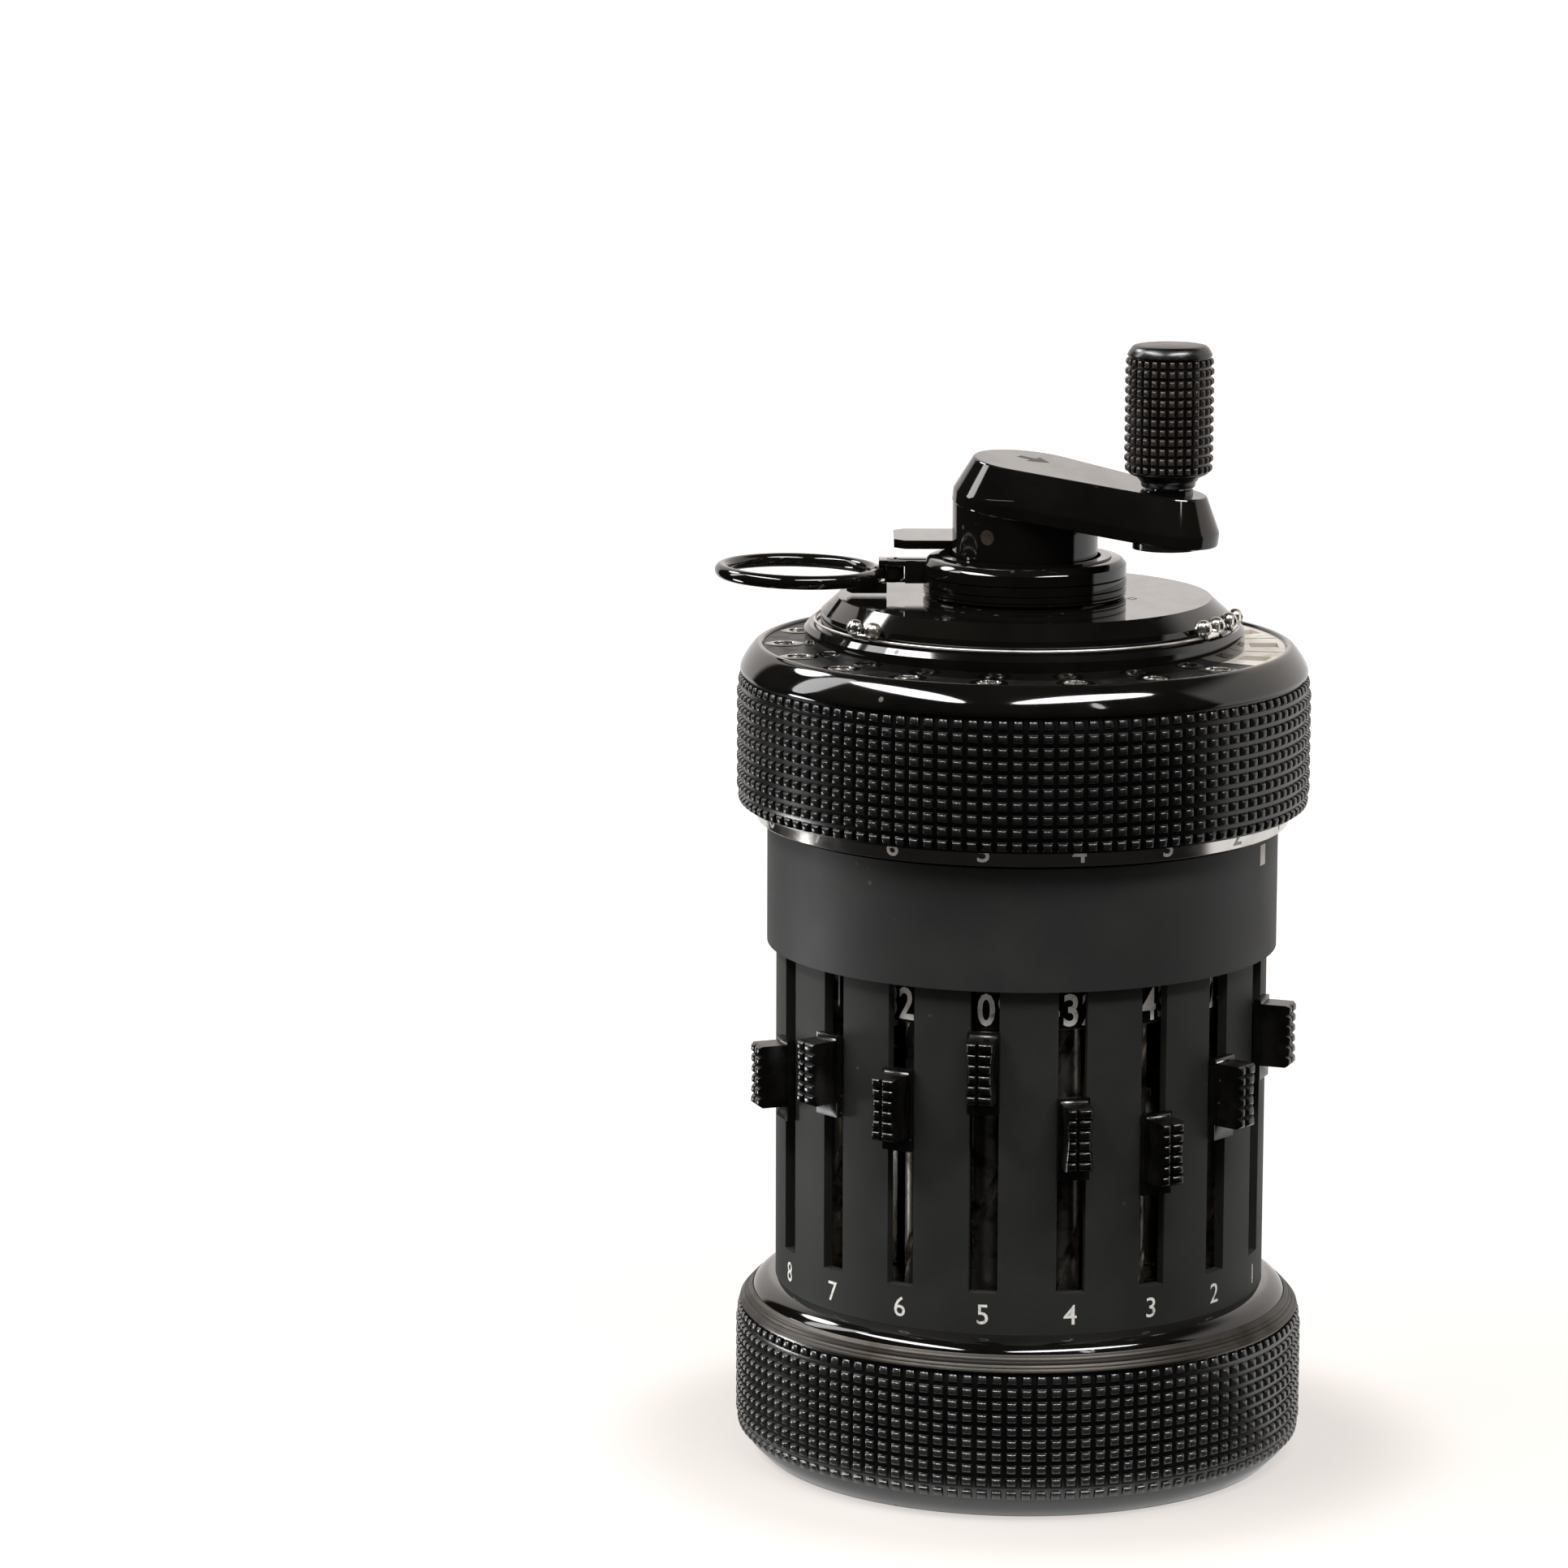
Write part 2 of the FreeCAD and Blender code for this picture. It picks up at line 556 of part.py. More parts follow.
def base_ring():
    turned("base_ring", [
        ("foot_radius", "0"),
        ("ring_radius", "foot_flare"),
        ("ring_radius", "base_grip_head"),
        ("base_shoulder_radius", "base_shoulder_head"),
        ("base_lip_radius", "base_lip_head"),
        ("shell_radius", "base_height"),
        ("shell_radius", "shell_foot"),
        ("flange_radius", "shell_foot"),
        ("flange_radius", "cover_recess + cover_thickness"),
        ("cover_radius", "cover_recess + cover_thickness"),
        ("cover_radius", "0"),
    ])


def base_cover():
    turned("base_cover", [
        ("0", "cover_recess"),
        ("cover_radius", "cover_recess"),
        ("cover_radius", "cover_recess + cover_thickness"),
        ("0", "cover_recess + cover_thickness"),
    ])


# Shell, sleeve and bearing plates

def body_tube():
    body = turned("body_tube", [
        ("shell_radius - shell_wall", "shell_foot"),
        ("shell_radius", "shell_foot"),
        ("shell_radius", "shell_head"),
        ("shell_radius - shell_wall", "shell_head"),
    ])
    last_place = place_angle(PLACES)
    setting_slot = new_sketch(body, tilt=last_place)
    draw_box(setting_slot, "-slot_width / 2", "slot_foot", "slot_width / 2", "slot_head")
    slot = pocket(body, setting_slot, "shell_radius + shell_wall", along_normal=True)
    repeat_round(body, slot, "place_step", PLACES)
    reverser_slot = new_sketch(body, tilt="reverser_angle")
    draw_box(reverser_slot, "-slot_width / 2", "reverser_slot_foot", "slot_width / 2", "reverser_slot_head")
    pocket(body, reverser_slot, "shell_radius + shell_wall", along_normal=True)


def upper_band():
    turned("upper_band", [
        ("shell_radius", "band_foot"),
        ("band_radius", "band_foot"),
        ("band_radius", "band_head"),
        ("shell_radius", "band_head"),
    ])


def bore_circle(body, circle, radius, foot):
    """Bearing holes of all places through a plate."""
    first = new_sketch(body, "XY_Plane", lift=foot)
    azimuth = place_angle(PLACES)
    draw_circle(first, radius, f"{circle} * sin({azimuth})", f"-{circle} * cos({azimuth})")
    hole = pocket(body, first, "plate_thickness", along_normal=True)
    repeat_round(body, hole, "place_step", PLACES)


def lower_bearing_plate():
    body = turned("lower_bearing_plate", [
        ("shaft_radius + running_fit", "lower_plate_foot"),
        ("shell_radius - shell_wall", "lower_plate_foot"),
        ("shell_radius - shell_wall", "lower_plate_head"),
        ("shaft_radius + running_fit", "lower_plate_head"),
    ])
    bore_circle(body, "setting_circle", "journal_radius + running_fit", "lower_plate_foot")
    bore_circle(body, "drive_circle", "journal_radius + running_fit", "lower_plate_foot")


def roll_bearing_ring():
    body = turned("roll_bearing_ring", [
        ("roll_ring_radius", "roll_ring_foot"),
        ("shell_radius - shell_wall", "roll_ring_foot"),
        ("shell_radius - shell_wall", "roll_ring_foot + plate_thickness"),
        ("roll_ring_radius", "roll_ring_foot + plate_thickness"),
    ])
    bore_circle(body, "setting_circle", "journal_radius + running_fit", "roll_ring_foot")


def upper_bearing_plate():
    """Plate in the head of the shell, with the tube that the carriage rides on."""
    body = turned("upper_bearing_plate", [
        ("shaft_radius + running_fit", "shell_head - plate_thickness"),
        ("shell_radius - shell_wall", "shell_head - plate_thickness"),
        ("shell_radius - shell_wall", "shell_head"),
        ("guide_radius", "shell_head"),
        ("guide_radius", "guide_head - stop_thickness"),
        ("stop_radius", "guide_head - stop_thickness"),
        ("stop_radius", "guide_head"),
        ("shaft_radius + running_fit", "guide_head"),
    ])
    bore_circle(body, "drive_circle", "journal_radius + running_fit", "shell_head - plate_thickness")


# Setting: shafts with number rolls, sliders, pinions and drive shafts

def setting_shaft(place):
    shoulder = "(lower_plate_head + slide_gap)"
    body = turned(f"setting_shaft_{place}", [
        ("0", "lower_plate_foot + slide_gap"),
        ("journal_radius", "lower_plate_foot + slide_gap"),
        ("journal_radius", shoulder),
        ("setting_radius", shoulder),
        ("setting_radius", "roll_foot"),
        ("roll_radius", "roll_foot"),
        ("roll_radius", "roll_head"),
        ("journal_radius", "roll_head"),
        ("journal_radius", "roll_ring_foot + plate_thickness"),
        ("0", "roll_ring_foot + plate_thickness"),
    ])
    cutter = new_sketch(body)
    draw_box(cutter,
             "setting_radius - groove_depth", "groove_foot - groove_opening / 2",
             "setting_radius + groove_depth", "groove_foot + groove_opening / 2")
    groove = body.newObject("PartDesign::SubtractiveHelix", "groove")
    groove.Profile = cutter
    groove.ReferenceAxis = (cutter, ["V_Axis"])
    groove.Mode = "pitch-height-angle"
    bind(groove, "Pitch", "groove_lead")
    bind(groove, "Height", "groove_height")
    turn = f"groove_turn + 360 * digit_travel / groove_lead * value_{place}"
    set_on_circle(body, "setting_circle", place_angle(place), turn=turn)


def slider(place):
    """Waisted finger piece, neck, eye round the setting shaft with its follower pin, and fork."""
    body = new_body(f"slider_{place}")
    back = "(shell_radius + slide_gap)"
    half = "(finger_height / 2)"
    finger = new_sketch(body, lift=back)
    draw_outline(finger, [
        ("-finger_width / 2", f"-{half}"),
        ("finger_width / 2", f"-{half}"),
        ("finger_waist / 2", f"-{half} / 3"),
        ("finger_waist / 2", f"{half} / 3"),
        ("finger_width / 2", half),
        ("-finger_width / 2", half),
        ("-finger_waist / 2", f"{half} / 3"),
        ("-finger_waist / 2", f"-{half} / 3"),
    ])
    pad(body, finger, f"finger_front - {back}")
    dress_edges(body, "Fillet", "finger_round", lambda edge: (
        abs(edge.CenterOfMass.y + value("finger_front")) < 0.01
        and abs(abs(edge.CenterOfMass.z) - value(half)) < 0.01))
    skirt = new_sketch(body, "YZ_Plane")
    draw_box(skirt, f"-{back} - skirt_depth", f"-{half} - skirt_below", f"-{back}", f"{half} + skirt_above")
    pad(body, skirt, "skirt_width", symmetric=True)
    neck = new_sketch(body, "YZ_Plane")
    draw_box(neck, f"-{back}", "-neck_height / 2", "-setting_circle - setting_radius - 2 * slide_gap",
             "neck_height / 2")
    pad(body, neck, "slot_width - 2 * slide_gap", symmetric=True)
    eye = new_sketch(body, "XY_Plane")
    draw_octagon(eye, "eye_width", "0", "-setting_circle")
    pad(body, eye, "eye_height", symmetric=True)
    fork = new_sketch(body, "XY_Plane")
    draw_box(fork, "-fork_width / 2", "-setting_circle + setting_radius", "fork_width / 2", "-fork_reach")
    pad(body, fork, "fork_thickness", symmetric=True)
    bore = new_sketch(body, "XY_Plane")
    draw_circle(bore, "setting_radius + 1.5 * slide_gap", "0", "-setting_circle")
    pocket(body, bore, "finger_height", symmetric=True)
    notch = new_sketch(body, "XY_Plane")
    draw_box(notch,
             "-pinion_neck - slide_gap", "-drive_circle - pinion_neck - slide_gap",
             "pinion_neck + slide_gap", "0")
    pocket(body, notch, "2 * fork_thickness", symmetric=True)
    follower = new_sketch(body, "XY_Plane")
    tip = "(setting_radius - groove_depth + slide_gap)"
    corners = ((tip, "-"), ("eye_width / 2", "-"), ("eye_width / 2", "+"), (tip, "+"))
    draw_outline(follower, [
        (f"{reach} * sin(follower_angle) {side} follower_side / 2 * cos(follower_angle)",
         f"-setting_circle - {reach} * cos(follower_angle) {side} follower_side / 2 * sin(follower_angle)")
        for reach, side in corners])
    pad(body, follower, "follower_side", symmetric=True)
    turn_about_axis(body, place_angle(place), slider_height(place))


def pinion(place):
    """Toothed rim, and the neck and collar that hang it in the slider's fork."""
    rim_head = "(-fork_thickness / 2 - slide_gap)"
    body = new_body(f"pinion_{place}")
    rim = new_sketch(body, "XY_Plane", lift=f"{rim_head} - pinion_thickness")
    draw_gear(rim, "pinion_tip", "(pinion_tip - gear_tooth)", PINION_TEETH)
    pad(body, rim, "pinion_thickness")
    collar = new_sketch(body)
    draw_outline(collar, [
        ("0", rim_head),
        ("pinion_neck", rim_head),
        ("pinion_neck", "fork_thickness / 2 + slide_gap"),
        ("pinion_collar", "fork_thickness / 2 + slide_gap"),
        ("pinion_collar", "fork_thickness + slide_gap"),
        ("0", "fork_thickness + slide_gap"),
    ])
    spin(body, collar)
    square = new_sketch(body, "XY_Plane")
    side = "(drive_side / 2 + running_fit)"
    draw_box(square, f"-{side}", f"-{side}", side, side)
    pocket(body, square, "6 * fork_thickness", symmetric=True)
    set_on_circle(body, "drive_circle", place_angle(place), slider_height(place))


def drive_shaft(place):
    """Square shaft with round ends and the crown wheel that faces the dials."""
    body = new_body(f"drive_shaft_{place}")
    foot = "(lower_plate_head + slide_gap)"
    head = "(shell_head - plate_thickness - slide_gap)"
    crown_foot = "drive_head - crown_thickness"
    square = new_sketch(body, "XY_Plane", lift=foot)
    draw_box(square, "-drive_side / 2", "-drive_side / 2", "drive_side / 2", "drive_side / 2")
    pad(body, square, f"{head} - {foot}")
    for low, high in (("lower_plate_foot + slide_gap", foot), (head, crown_foot)):
        journal = new_sketch(body)
        draw_box(journal, "0", low, "journal_radius", high)
        spin(body, journal)
    crown = new_sketch(body, "XY_Plane", lift=crown_foot)
    draw_gear(crown, "crown_radius", "(crown_radius - gear_tooth)", CROWN_TEETH)
    pad(body, crown, "crown_thickness")
    set_on_circle(body, "drive_circle", place_angle(place))


# Main shaft, stepped drum and lifting washer

def main_shaft():
    body = turned("main_shaft", [
        ("0", "lower_plate_foot - shaft_tail"),
        ("shaft_radius", "lower_plate_foot - shaft_tail"),
        ("shaft_radius", "shaft_head"),
        ("0", "shaft_head"),
    ])
    cross = new_sketch(body, tilt="cross_pin_angle")
    draw_circle(cross, "cross_pin_radius", "0", "cross_pin_height")
    pocket(body, cross, "4 * shaft_radius", symmetric=True)


def stepped_drum():
    """Drum with one row of teeth for each digit, and the rows of complements between them."""
    barrel = Part.makeCylinder(value("drum_radius"), value("drum_head - drum_foot"),
                               FreeCAD.Vector(0, 0, value("drum_foot")))
    bore = Part.makeCylinder(value("shaft_radius"), value("drum_head - drum_foot"),
                             FreeCAD.Vector(0, 0, value("drum_foot")))
    root = value("drum_radius") - value("tooth_width") / 2
    width, thickness = value("tooth_width"), value("tooth_thickness")
    axis = FreeCAD.Vector(0, 0, 1)
    teeth = []
    for digit in range(10):
        row = value(f"slider_zero - pinion_drop - digit_travel * {digit}")
        complement_row = row - value("digit_travel / 2")
        for count, middle in ((digit, row), (9 - digit, complement_row)):
            for step in range(count):
                tooth = Part.makeBox(value("drum_tip") - root, width, thickness,
                                     FreeCAD.Vector(root, -width / 2, middle - thickness / 2))
                tooth.rotate(FreeCAD.Vector(), axis, 180 + step * value("tooth_step"))
                teeth.append(tooth)
    drum = doc.addObject("Part::Feature", "stepped_drum")
    drum.Label = "stepped_drum"
    drum.Shape = barrel.fuse(teeth).cut(bore)


def lift_washer():
    turned("lift_washer", [
        ("shaft_radius + running_fit", "lower_plate_head + turn_gap"),
        ("washer_radius", "lower_plate_head + turn_gap"),
        ("washer_radius", "drum_foot - turn_gap"),
        ("shaft_radius + running_fit", "drum_foot - turn_gap"),
    ])


# Crank with its cross pin, knob and knob axle

def crank_arm():
    """Round hub, and an arm with an upright rim and leaning sides that falls towards the knob."""
    body = new_body("crank_arm")
    hub = new_sketch(body, "XY_Plane", lift="hub_foot")
    draw_circle(hub, "hub_radius")
    pad(body, hub, "arm_head - hub_foot")
    above_arm_foot = new_sketch(body, "XY_Plane", lift="arm_foot", tilt="crank_tilt")
    draw_circle(above_arm_foot, "2 * hub_radius")
    pocket(body, above_arm_foot, "2 * (arm_rim + arm_crown)", along_normal=True)
    for foot, height, lean in (("0", "arm_rim", "0"), ("arm_rim", "arm_crown", "-arm_draft")):
        outline = new_sketch(body, "XY_Plane", lift=f"arm_foot + {foot} * cos(crank_tilt)", tilt="crank_tilt")
        bind(outline, ".AttachmentOffset.Base.x", f"{foot} * sin(crank_tilt)")
        draw_link(outline, "hub_radius + arm_lip", "boss_radius", "crank_throw / cos(crank_tilt)")
        layer = pad(body, outline, height)
        bind(layer, "TaperAngle", lean)
    seat = new_sketch(body, "XY_Plane", lift="arm_foot")
    draw_circle(seat, "seat_rim_radius", "crank_throw")
    pad(body, seat, "boss_head - arm_foot")
    spot_face = new_sketch(body, "XY_Plane", lift="hub_foot")
    draw_circle(spot_face, "nut_radius + slide_gap", "crank_throw")
    pocket(body, spot_face, "nut_head - hub_foot", along_normal=True)
    stud_hole = new_sketch(body, "XY_Plane", lift="hub_foot")
    draw_circle(stud_hole, "stud_radius", "crank_throw")
    pocket(body, stud_hole, "boss_head - hub_foot", along_normal=True)
    shaft_hole = new_sketch(body, "XY_Plane", lift="hub_foot")
    draw_circle(shaft_hole, "shaft_radius")
    pocket(body, shaft_hole, "shaft_head - hub_foot", along_normal=True)
    cross = new_sketch(body, tilt="90 + cross_pin_angle - crank_angle")
    draw_circle(cross, "cross_pin_radius", "0", "cross_pin_height")
    pocket(body, cross, "4 * hub_radius", symmetric=True)
    turn_about_axis(body, "crank_angle - 90")


def crank_cross_pin():
    body = new_body("crank_cross_pin")
    section = new_sketch(body, tilt="cross_pin_angle")
    draw_circle(section, "cross_pin_radius", "0", "cross_pin_height")
    pad(body, section, "2 * hub_radius", symmetric=True)


def knob_stud():
    body = turned("knob_stud", [
        ("0", "nut_foot"),
        ("nut_radius", "nut_foot"),
        ("nut_radius", "nut_head"),
        ("stud_radius", "nut_head"),
        ("stud_radius", "stud_head"),
        ("0", "stud_head"),
    ])
    set_on_circle(body, "crank_throw", "crank_angle")


def crank_knob():
    bore = "(stud_radius + running_fit)"
    body = turned("crank_knob", [
        (bore, "boss_head + slide_gap"),
        ("knob_neck_radius", "boss_head + slide_gap"),
        ("knob_radius", "knob_grip_foot"),
        ("knob_radius", "knob_grip_head"),
        ("knob_radius - knob_edge", "knob_grip_head + knob_shoulder"),
        ("0", "knob_head"),
        ("0", "stud_head + turn_gap"),
        (bore, "stud_head + turn_gap"),
    ])
    set_on_circle(body, "crank_throw", "crank_angle")


# Carriage: ring, cone, neck, window plates, dials and spring

def carriage_ring():
    turned("carriage_ring", [
        ("skirt_bore", "skirt_foot"),
        ("skirt_radius", "skirt_foot"),
        ("skirt_radius", "skirt_head"),
        ("ring_radius", "grip_foot"),
        ("ring_radius", "grip_head"),
        ("(ring_radius + rim_radius) / 2 + rim_crown", "(grip_head + rim_head + rim_crown) / 2"),
        ("rim_radius", "rim_head"),
        ("carriage_bore + slide_gap", "rim_head"),
        ("carriage_bore", "window_head"),
        ("carriage_bore", "grip_foot"),
        ("skirt_bore", "grip_foot"),
    ])


def carriage_cone():
    """Cone with its flat top, the cup round the spring, and the ring under the cone."""
    turned("carriage_cone", [
        ("guide_radius + running_fit", "web_foot"),
        ("cup_radius", "web_foot"),
        ("cup_radius", "roof_foot"),
        ("block_radius", "roof_foot"),
        ("block_radius", "block_foot"),
        ("window_inner", "block_foot"),
        ("window_inner", "step_head - step_bevel_height"),
        ("step_radius", "step_head"),
        ("cone_foot_radius", "step_head"),
        ("cone_foot_radius", "cone_foot"),
        ("cone_head_radius", "cone_head"),
        ("neck_outer", "cone_head"),
        ("neck_outer", "roof_foot"),
        ("cup_radius - cup_wall", "roof_foot"),
        ("cup_radius - cup_wall", "web_foot + web_thickness"),
        ("guide_radius + running_fit", "web_foot + web_thickness"),
    ])


def carriage_neck():
    """Flanged neck that the clearing lever turns on, with the catch plate on its head."""
    neck = turned("neck", [
        ("neck_inner", "roof_foot - neck_flange_thickness"),
        ("neck_outer + neck_flange", "roof_foot - neck_flange_thickness"),
        ("neck_outer + neck_flange", "roof_foot"),
        ("neck_outer", "roof_foot"),
        ("neck_outer", "neck_head"),
        ("neck_inner", "neck_head"),
    ])
    catch = new_body("catch")
    plate = new_sketch(catch, "XY_Plane", lift="neck_head")
    left, back = "(neck_outer + catch_side)", "(neck_outer + catch_behind)"
    draw_outline(plate, [
        (f"-{left}", "catch_front + catch_corner"),
        (f"-{left} + catch_corner", "catch_front"),
        ("-catch_root", "catch_front"),
        ("-catch_root", back),
        (f"-{left} + catch_corner", back),
        (f"-{left}", f"{back} - catch_corner"),
    ])
    pad(catch, plate, "catch_thickness")
    bore = new_sketch(catch, "XY_Plane", lift="neck_head")
    draw_circle(bore, "neck_inner")
    pocket(catch, bore, "2 * catch_thickness", along_normal=True)
    joined("carriage_neck", neck, catch)


def window_plate(label, start, sector, openings):
    """Sector of the flat ring over the dials, with an opening for each dial up to its end."""
    body = turned(label, [
        ("window_inner", "window_foot"),
        ("carriage_bore", "window_foot"),
        ("carriage_bore", "window_head"),
        ("window_inner", "window_head"),
    ], angle=sector)
    first = f"{sector} - ({openings} - 0.5) * place_step"
    opening = new_sketch(body, "XY_Plane", lift="window_foot", tilt=first, axis=(0, 0, 1))
    draw_box(opening,
             "window_circle - window_length / 2", "-window_width / 2",
             "window_circle + window_length / 2", "window_width / 2")
    hole = pocket(body, opening, "window_head - window_foot", along_normal=True)
    repeat_round(body, hole, "place_step", openings)
    turn_about_axis(body, f"{start} - 90")


def number_dial(azimuth):
    """Ten-sided number dial on its radial axle, with its drive wheel."""
    prisms = []
    for sides, radius, inner, outer in (
            (6, "axle_radius", "cup_radius", "carriage_bore - slide_gap"),
            (10, "dial_radius", "dial_inner", "dial_outer"),
            (10, "dial_wheel_radius", "dial_wheel_inner", "dial_wheel_outer")):
        corners = []
        for corner in range(sides + 1):
            angle = 2 * math.pi * (corner + 0.5) / sides
            corners.append(FreeCAD.Vector(value(inner), value(radius) * math.sin(angle),
                                          value(radius) * math.cos(angle)))
        face = Part.Face(Part.makePolygon(corners))
        prisms.append(face.extrude(FreeCAD.Vector(value(outer) - value(inner), 0, 0)))
    dial = prisms[0].fuse(prisms[1:])
    dial.translate(FreeCAD.Vector(0, 0, value("dial_height")))
    dial.rotate(FreeCAD.Vector(), FreeCAD.Vector(0, 0, 1), azimuth - 90)
    return dial


def dial_group(label, start, count):
    step = value("place_step")
    dials = [number_dial(start + step * (index + 0.5)) for index in range(count)]
    group = doc.addObject("Part::Feature", label)
    group.Label = label
    group.Shape = Part.makeCompound(dials)


def carriage_spring():
    """The spring under the stop flange, as the sleeve that its coil fills, and its seat."""
    seat = turned("seat", [
        ("guide_radius + running_fit", "seat_foot"),
        ("seat_radius", "seat_foot"),
        ("seat_radius", "spring_foot"),
        ("guide_radius + running_fit", "spring_foot"),
    ])
    coil = turned("coil", [
        ("spring_radius - spring_wire", "spring_foot"),
        ("spring_radius + spring_wire", "spring_foot"),
        ("spring_radius + spring_wire", "spring_foot + spring_height"),
        ("spring_radius - spring_wire", "spring_foot + spring_height"),
    ])
    joined("carriage_spring", seat, coil)


# Clearing lever, folding ring and decimal markers

def clearing_lever():
    """Collar that turns on the carriage neck, with a forked arm and the ring's pivot pin."""
    bore = "(neck_outer + running_fit)"
    body = turned("clearing_lever", [
        (bore, "cone_head + slide_gap"),
        ("collar_radius", "cone_head + slide_gap"),
        ("collar_radius", "collar_head - collar_bevel"),
        ("collar_radius - collar_bevel", "collar_head"),
        (bore, "collar_head"),
    ])
    arm = new_sketch(body, "XY_Plane", lift="lever_foot")
    draw_box(arm, "-ring_pivot - lever_width / 2", "-lever_width / 2",
             "-collar_radius + collar_bevel", "lever_width / 2")
    pad(body, arm, "lever_head - lever_foot")
    shoe = new_sketch(body, "XY_Plane", lift="cone_head + turn_gap")
    draw_box(shoe, "-shoe_reach", "-lever_width / 2", "-collar_radius + collar_bevel", "lever_width / 2")
    pad(body, shoe, "shoe_head - cone_head - turn_gap")
    fork = new_sketch(body)
    gap = "(ring_thickness / 2 + slide_gap)"
    draw_box(fork, "-2 * ring_pivot", f"ring_height - {gap}",
             "-ring_pivot + tongue_width / 2 + turn_gap", f"ring_height + {gap}")
    pocket(body, fork, "2 * lever_width", symmetric=True)
    pin = new_sketch(body, "XY_Plane", lift="lever_foot")
    draw_circle(pin, "pivot_radius", "-ring_pivot")
    pad(body, pin, "lever_head - lever_foot")


def clearing_ring():
    """Finger ring of flattened wire, with the tongue that folds about the lever's pin."""
    half = "ring_thickness / 2"
    body = turned("clearing_ring", [
        ("ring_inner", "0"),
        ("ring_inner + ring_bevel", f"-{half}"),
        ("ring_outer - ring_bevel", f"-{half}"),
        ("ring_outer", "0"),
        ("ring_outer - ring_bevel", half),
        ("ring_inner + ring_bevel", half),
    ])
    pivot = "(ring_centre - ring_pivot)"
    tongue = new_sketch(body, "XY_Plane", lift=f"-{half}")
    draw_box(tongue, "(ring_inner + ring_outer) / 2", "-tongue_width / 2", pivot, "tongue_width / 2")
    pad(body, tongue, "ring_thickness")
    eye = new_sketch(body, "XY_Plane", lift=f"-{half}")
    draw_circle(eye, "tongue_width / 2", pivot)
    pad(body, eye, "ring_thickness")
    hole = new_sketch(body, "XY_Plane")
    draw_circle(hole, "pivot_radius + running_fit", pivot)
    pocket(body, hole, "2 * ring_thickness", symmetric=True)
    body.Placement = FreeCAD.Placement()
    bind(body, ".Placement.Base.x", "-ring_centre")
    bind(body, ".Placement.Base.z", "ring_height")


def decimal_marker(number):
    """Two beads on a short bridge, riding in the groove at the cone's foot."""
    body = new_body(f"decimal_marker_{number}")
    bead = new_sketch(body)
    bind(bead, ".AttachmentOffset.Base.x", "marker_circle")
    draw_outline(bead, [
        ("0", "marker_foot"),
        ("bead_radius / 2", "marker_foot"),
        ("bead_radius", "marker_foot + bead_radius / 2"),
        ("bead_radius", "marker_head - bead_radius / 2"),
        ("bead_radius / 2", "marker_head"),
        ("0", "marker_head"),
    ])
    repeat_round(body, spin(body, bead), "bead_step", 2)
    bridge = new_sketch(body)
    draw_box(bridge, "marker_circle - 0.4 * bead_radius", "marker_foot",
             "marker_circle + 0.4 * bead_radius", "marker_foot + bridge_height")
    spin(body, bridge, "bead_step")
    turn_about_axis(body, f"marker_{number}_angle - bead_step / 2 - 90")


# Reversing lever at the back of the shell

def reversing_lever():
    body = new_body("reversing_lever")
    back = "(shell_radius + slide_gap)"
    half = "reverser_size / 2"
    finger = new_sketch(body, "YZ_Plane")
    draw_box(finger, "-reverser_front", f"-{half}", f"-{back}", half)
    pad(body, finger, "finger_width", symmetric=True)
    dress_edges(body, "Fillet", "finger_round", lambda edge: (
        abs(edge.CenterOfMass.y + value("reverser_front")) < 0.01
        and abs(abs(edge.CenterOfMass.z) - value(half)) < 0.01))
    inside = "(shell_radius - shell_wall - 2 * slide_gap)"
    neck = new_sketch(body, "YZ_Plane")
    draw_box(neck, f"-{back}", "-neck_height / 2", f"-{inside} + 2 * shell_wall", "neck_height / 2")
    pad(body, neck, "slot_width - 2 * slide_gap", symmetric=True)
    guide = new_sketch(body, "YZ_Plane")
    draw_box(guide, f"-{inside} + shell_wall / 2", "-neck_height / 2",
             f"-{inside} + 2 * shell_wall", "neck_height / 2")
    pad(body, guide, "reverser_guide", symmetric=True)
    turn_about_axis(body, "reverser_angle", "reverser_height")


base_ring()
base_cover()
body_tube()
upper_band()
lower_bearing_plate()
roll_bearing_ring()
upper_bearing_plate()
for place in range(1, PLACES + 1):
    setting_shaft(place)
    slider(place)
    pinion(place)
    drive_shaft(place)
main_shaft()
stepped_drum()
lift_washer()
crank_arm()
crank_cross_pin()
knob_stud()
crank_knob()
carriage_ring()
carriage_cone()
carriage_neck()
counter_sector = f"{COUNTER_DIALS} * place_step"
result_start = f"(counter_start + {counter_sector})"
window_plate("result_window_plate", result_start, f"360 - {counter_sector}", RESULT_DIALS)
window_plate("counter_window_plate", "counter_start", counter_sector, COUNTER_DIALS)
dial_group("result_dials", value(f"counter_start - {RESULT_DIALS} * place_step"), RESULT_DIALS)
dial_group("counter_dials", value("counter_start"), COUNTER_DIALS)
carriage_spring()
clearing_lever()
clearing_ring()
for number in (1, 2, 3):
    decimal_marker(number)
reversing_lever()

doc.recompute()
for thing in doc.Objects:
    if "Invalid" in thing.State or "Error" in thing.State:
        raise RuntimeError(f"{thing.Label} failed: {thing.State}")
grouped = [body for thing in doc.Objects if thing.TypeId == "Part::Compound" for body in thing.Links]
pieces = [thing for thing in doc.Objects
          if thing.isDerivedFrom("Part::Feature")
          and thing.getParentGeoFeatureGroup() is None and thing not in grouped]
for piece in pieces:
    if piece.Shape.isNull() or not piece.Shape.isValid():
        raise RuntimeError(f"{piece.Label} has no valid shape")
os.makedirs("parts", exist_ok=True)
for piece in pieces:
    piece.Shape.exportStep(f"parts/{piece.Label}.step")
print(len(pieces), "pieces written")
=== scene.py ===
import bpy
import bmesh
import math
from mathutils import Matrix, Vector


